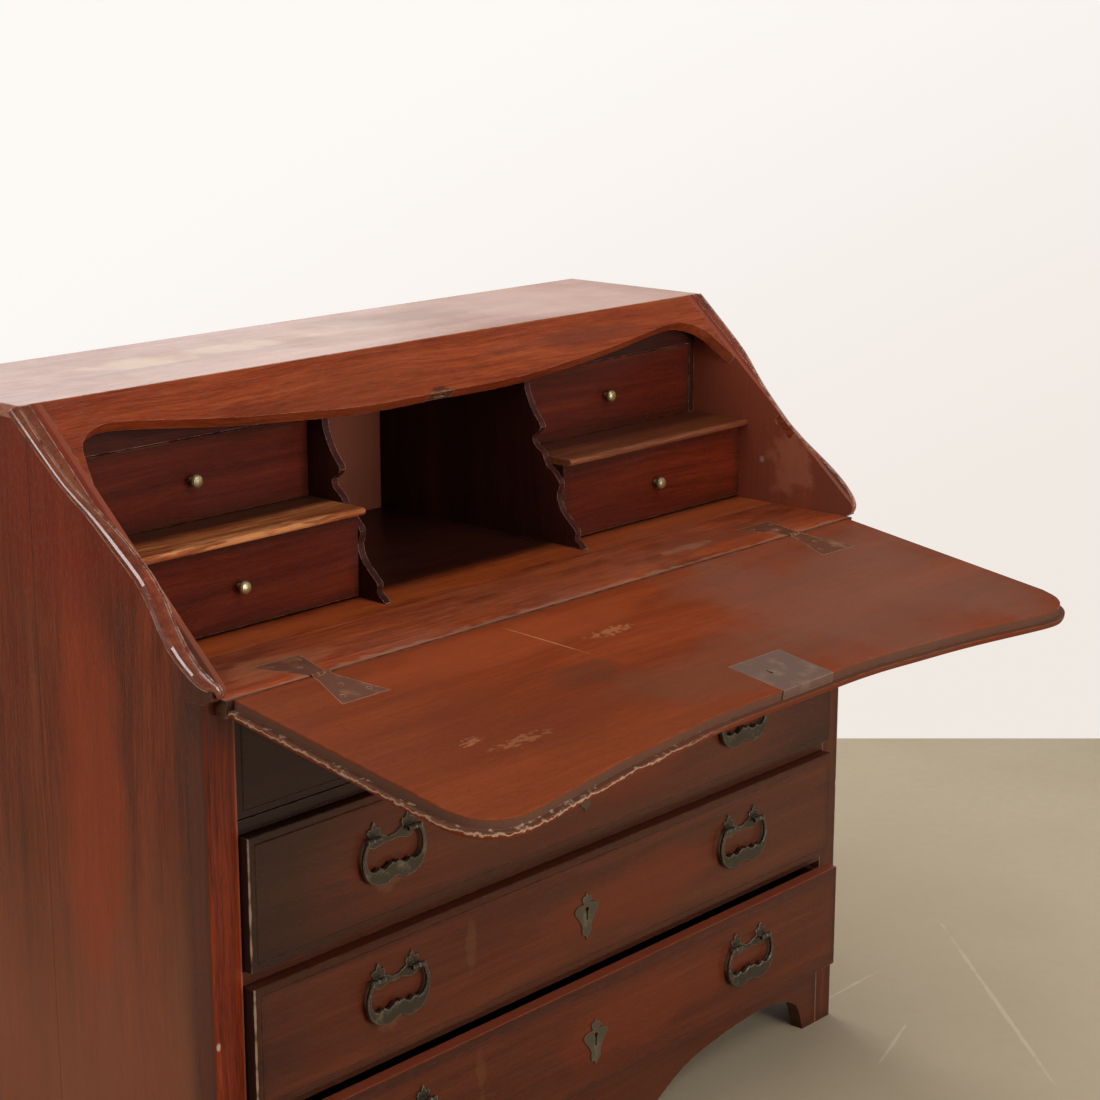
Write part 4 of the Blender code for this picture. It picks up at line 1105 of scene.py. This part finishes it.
@dataclass
class WideDrawer:
    """One of the three wide drawers, with its pulls and escutcheon.

    Attributes:
        row: which row it is in.
        left_stain_and_shade: how far its left end is darkened, partly stain, partly painted shadow
            of the lid.
        reach: where that dark ends, on x.
        shaded: where painted shadow of the lid darkens its right end, on x; 1 is past its end.
        lit: how much painted light brightens its top face, in a redder tone.
    """

    row: str
    left_stain_and_shade: float = 0.7
    reach: float = -0.36
    shaded: float = 1.0
    lit: float = 0.0

    def marks(self) -> Marks:
        """The front's marks: a left end darkened by stain and painted shadow, painted light on its
        top, painted shade on its end face and right end, and pale rubs.
        """
        low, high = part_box(f"drawer_{self.row}_front")
        middle = (low.z + high.z) / 2
        return (
            # Painted light on the front's top face.
            Band(UP, high.z - 0.0004, 1.0, tone(170, 84, 56), self.lit, 0.0002),
            # Left end darkened: part stain, part painted shadow of the lid.
            Band(RIGHT, -1.0, self.reach, tone(38, 25, 18), self.left_stain_and_shade, 0.1, 0.02, 8),
            Mark((-0.335, low.y, middle - 0.03), (0.022, 0.0, 0.018), tone(116, 74, 46), 0.3, 1.3),
            Mark((-0.2, low.y, middle + 0.02), (0.01, 0.0, 0.04), tone(116, 76, 50), 0.2, 1.2, 40),
            Mark((0.1, low.y, middle), (0.2, 0.0, 0.05), tone(104, 40, 18), 0.5, 0.7, 9),
            # Painted shade on the front's left end face.
            Band(RIGHT, -1.0, low.x + 0.0015, tone(30, 17, 12), 0.85, 0.0005),
            # A pale line down the left arris: partly dust, partly a painted highlight.
            Mark((low.x, low.y, middle), (0.003, 0.003, 0.0), DUST_AND_HIGHLIGHT, 0.6, 0.8, 50),
            # Painted shadow of the lid over the right end.
            Band(RIGHT, self.shaded, 1.0, tone(44, 22, 16), 0.5, 0.08),
        )

    def dress(self) -> None:
        """Gives the drawer and its fittings their finish."""
        name = "drawer_" + self.row
        dress_wood(name + "_front", FRONT_WOOD, Grain.LONG_FRONT, self.marks())
        dress_wood(name + "_box", RAW_WOOD, Grain.DEEP)
        dress(name + "_escutcheon", OLIVE.material(name + "_escutcheon_finish", 2.0))
        for side in SIDES:
            for part in ("bail", "plate"):
                node = f"{name}_handle_{side}_{part}"
                dress(node, BRONZE.material(node + "_finish", 4.0))


@dataclass
class Studio:
    """The floor, the pale wall behind it, the lamps and the camera.

    Attributes:
        eye: where the camera stands.
        turn: its heading, in degrees from +Y towards -X.
        tilt: how far it looks down, in degrees.
        lens: its focal length, in millimetres on a 36 mm sensor.
        floor_reach: how far the floor runs from the camera before it meets the wall.
        floor_behind: how far it runs behind the camera.
        floor_width: its width.
        glow: colour of the soft light from all around.
        glow_power: its strength.
        scuffs: the pale scratches on the floor.
    """

    eye: Point = (-2.1392, -1.9565, 1.5287)
    turn: float = -48.08
    tilt: float = 14.006
    lens: float = 78.52
    floor_reach: float = 4.57
    floor_behind: float = 9.0
    floor_width: float = 28.0
    glow: Rgb = (1.0, 0.98, 0.96)
    glow_power: float = 0.2
    scuffs: Marks = (
        Mark((0.783, -0.233, 0.0), (0.006, 0.24, 0.0), SCUFF, 0.26, 0.8, 30, slant=0.88),
        Mark((0.687, -0.036, 0.0), (0.08, 0.004, 0.0), SCUFF, 0.26, 0.8, 40, slant=0.3),
        Mark((0.565, -0.195, 0.0), (0.01, 0.03, 0.0), tone(220, 208, 186), 0.3, 0.8, 40, slant=3.0),
    )

    def heading(self) -> Vector:
        """The way the camera looks, level with the floor."""
        angle = math.radians(self.turn)
        return Vector((-math.sin(angle), math.cos(angle), 0.0))

    def set_camera(self) -> None:
        """Makes the camera and turns it to the desk."""
        data = bpy.data.cameras.new("camera")
        data.lens = self.lens
        data.sensor_width = 36.0
        camera = bpy.data.objects.new("camera", data)
        bpy.context.scene.collection.objects.link(camera)
        camera.location = self.eye
        camera.rotation_euler = (math.radians(90 - self.tilt), 0.0, math.radians(self.turn))
        bpy.context.scene.camera = camera

    def concrete(self) -> bpy.types.Material:
        """The floor's finish: ground concrete with faint trails and blots, and painted shade around
        the desk.
        """
        graph = Graph("concrete")
        place = graph.place()
        spot = graph.join(*place)
        cloud = graph.noise(spot, 1.1, 4.0, 0.55)
        speck = graph.noise(spot, 45.0, 4.0, 0.6)
        colour = graph.mix(graph.step(cloud, 0.3, 0.7), tone(198, 182, 153), tone(212, 197, 169))
        # Painted shade on the floor, darker nearer the desk.
        away = ((place[0] - 0.1) ** 2 + (place[1] - 0.1) ** 2) ** 0.5
        colour = graph.mix(graph.step(away, 1.9, 0.5) * 0.55, colour, tone(140, 122, 98))
        colour = graph.mix(speck * 0.25, colour, tone(150, 134, 110))
        for scuff in self.scuffs:
            colour = graph.mix(scuff.cover(graph, place), colour, scuff.colour)
        inputs = {
            "Base Color": colour,
            "Roughness": 0.65,
            "Specular IOR Level": 0.3,
            "Normal": graph.bump(speck, 0.0006),
        }
        return graph.surface(inputs)

    def lay_floor(self) -> None:
        """Makes the floor, which ends where the wall would stand."""
        foot = Vector((self.eye[0], self.eye[1], 0.0))
        middle = foot + self.heading() * (self.floor_reach - self.floor_behind) / 2
        turned = (0, 0, math.radians(self.turn))
        bpy.ops.mesh.primitive_plane_add(size=1, location=middle, rotation=turned)
        floor = bpy.context.object
        floor.name = floor.data.name = "floor"
        floor.scale = (self.floor_width, self.floor_reach + self.floor_behind, 1.0)
        bpy.ops.object.transform_apply(location=True, rotation=True, scale=True)
        floor.data.materials.append(self.concrete())

    def hang_lamp(
        self, name: str, spot: Point, aim: Point, size: float, power: float, colour: Rgb
    ) -> None:
        """Hangs one square soft lamp.

        Args:
            name: its name.
            spot: where it hangs.
            aim: the place that it faces.
            size: its side, in metres.
            power: its watts.
            colour: its light's colour.
        """
        data = bpy.data.lights.new(name, "AREA")
        data.shape = "SQUARE"
        data.size = size
        data.energy = power
        data.color = colour
        lamp = bpy.data.objects.new(name, data)
        bpy.context.scene.collection.objects.link(lamp)
        lamp.location = spot
        lamp.visible_camera = False
        lamp.rotation_euler = (Vector(aim) - Vector(spot)).to_track_quat("-Z", "Y").to_euler()

    def wall(self, graph: Graph, mirrored: Field) -> bpy.types.NodeSocket:
        """The pale wall's colour, a little greyer towards the right and the floor.

        Args:
            graph: the world's graph.
            mirrored: 1 where it is seen in a shiny surface, which shows the dim room as well.

        Returns:
            The colour.
        """
        way = graph.node("TexCoord").outputs["Generated"]
        split = graph.node("SeparateXYZ", None, {0: way}).outputs
        east, north, up = (Field(graph, part) for part in split)
        low = graph.step((east - north) * 0.5 - up * 1.4, 0.0, 0.55)
        pale = graph.mix(low, tone(253, 249, 245), tone(240, 233, 226))
        ahead = self.heading()
        room = graph.step(east * ahead.x + north * ahead.y, 0.35, -0.25)
        room = graph.math("MAXIMUM", room, graph.step(up, 0.3, 0.6))
        return graph.mix(room * mirrored, pale, tone(96, 84, 74))

    def light(self) -> None:
        """Hangs the lamps and sets the world: a white wall to see, and a dim glow to be lit by."""
        self.hang_lamp("window", (0.2, -3.6, 1.15), (0.0, 0.0, 0.75), 1.8, 86, (1.0, 0.98, 0.95))
        self.hang_lamp("side", (-3.6, 0.5, 1.7), (-0.5, 0.1, 0.7), 1.3, 52, (1.0, 0.99, 0.97))
        self.hang_lamp("behind", (2.3, 4.4, 2.5), (0.0, 0.2, 0.9), 2.8, 15, (1.0, 0.99, 0.97))
        self.hang_lamp("overhead", (0.7, 1.9, 3.2), (0.2, 0.2, 0.4), 2.0, 58, (1.0, 0.99, 0.98))
        self.hang_lamp("above", (-0.1, -1.9, 3.2), (0.0, 0.0, 0.8), 1.8, 42, (1.0, 0.99, 0.97))
        graph = Graph("studio", world=True)
        path = graph.node("LightPath").outputs
        kinds = ("Is Glossy Ray", "Is Transmission Ray", "Is Camera Ray")
        glossy, through, straight = (Field(graph, path[kind]) for kind in kinds)
        mirrored = graph.math("MAXIMUM", glossy, through)
        seen = graph.math("MAXIMUM", straight, mirrored)
        glow = graph.node("Background", None, {0: self.glow, 1: self.glow_power}).outputs[0]
        wall = graph.node("Background", None, {0: self.wall(graph, mirrored), 1: 1.0}).outputs[0]
        shown = graph.node("MixShader", None, {0: seen, 1: glow, 2: wall}).outputs[0]
        graph.node("OutputWorld", None, {0: shown})
        bpy.context.scene.world = graph.owner

    def build(self) -> None:
        """Makes the whole studio."""
        self.set_camera()
        self.lay_floor()
        self.light()


def main() -> None:
    """Builds the studio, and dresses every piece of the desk."""
    logging.basicConfig(level=logging.INFO, format="%(name)s: %(message)s")
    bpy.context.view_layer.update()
    bpy.ops.object.select_all(action="DESELECT")
    bpy.context.scene.view_settings.view_transform = "Standard"
    Studio().build()
    Carcase().dress()
    WritingSurface().dress()
    Interior().dress()
    lid = FallFront()
    lid.dress()
    lid.screw()
    WideDrawer("upper", left_stain_and_shade=0.75, reach=-0.43, shaded=0.42).dress()
    WideDrawer("middle", left_stain_and_shade=0.45, reach=-0.49, lit=0.2).dress()
    WideDrawer("lower", left_stain_and_shade=0.25, reach=-0.5, lit=0.75).dress()


if __name__ == "__main__":
    main()
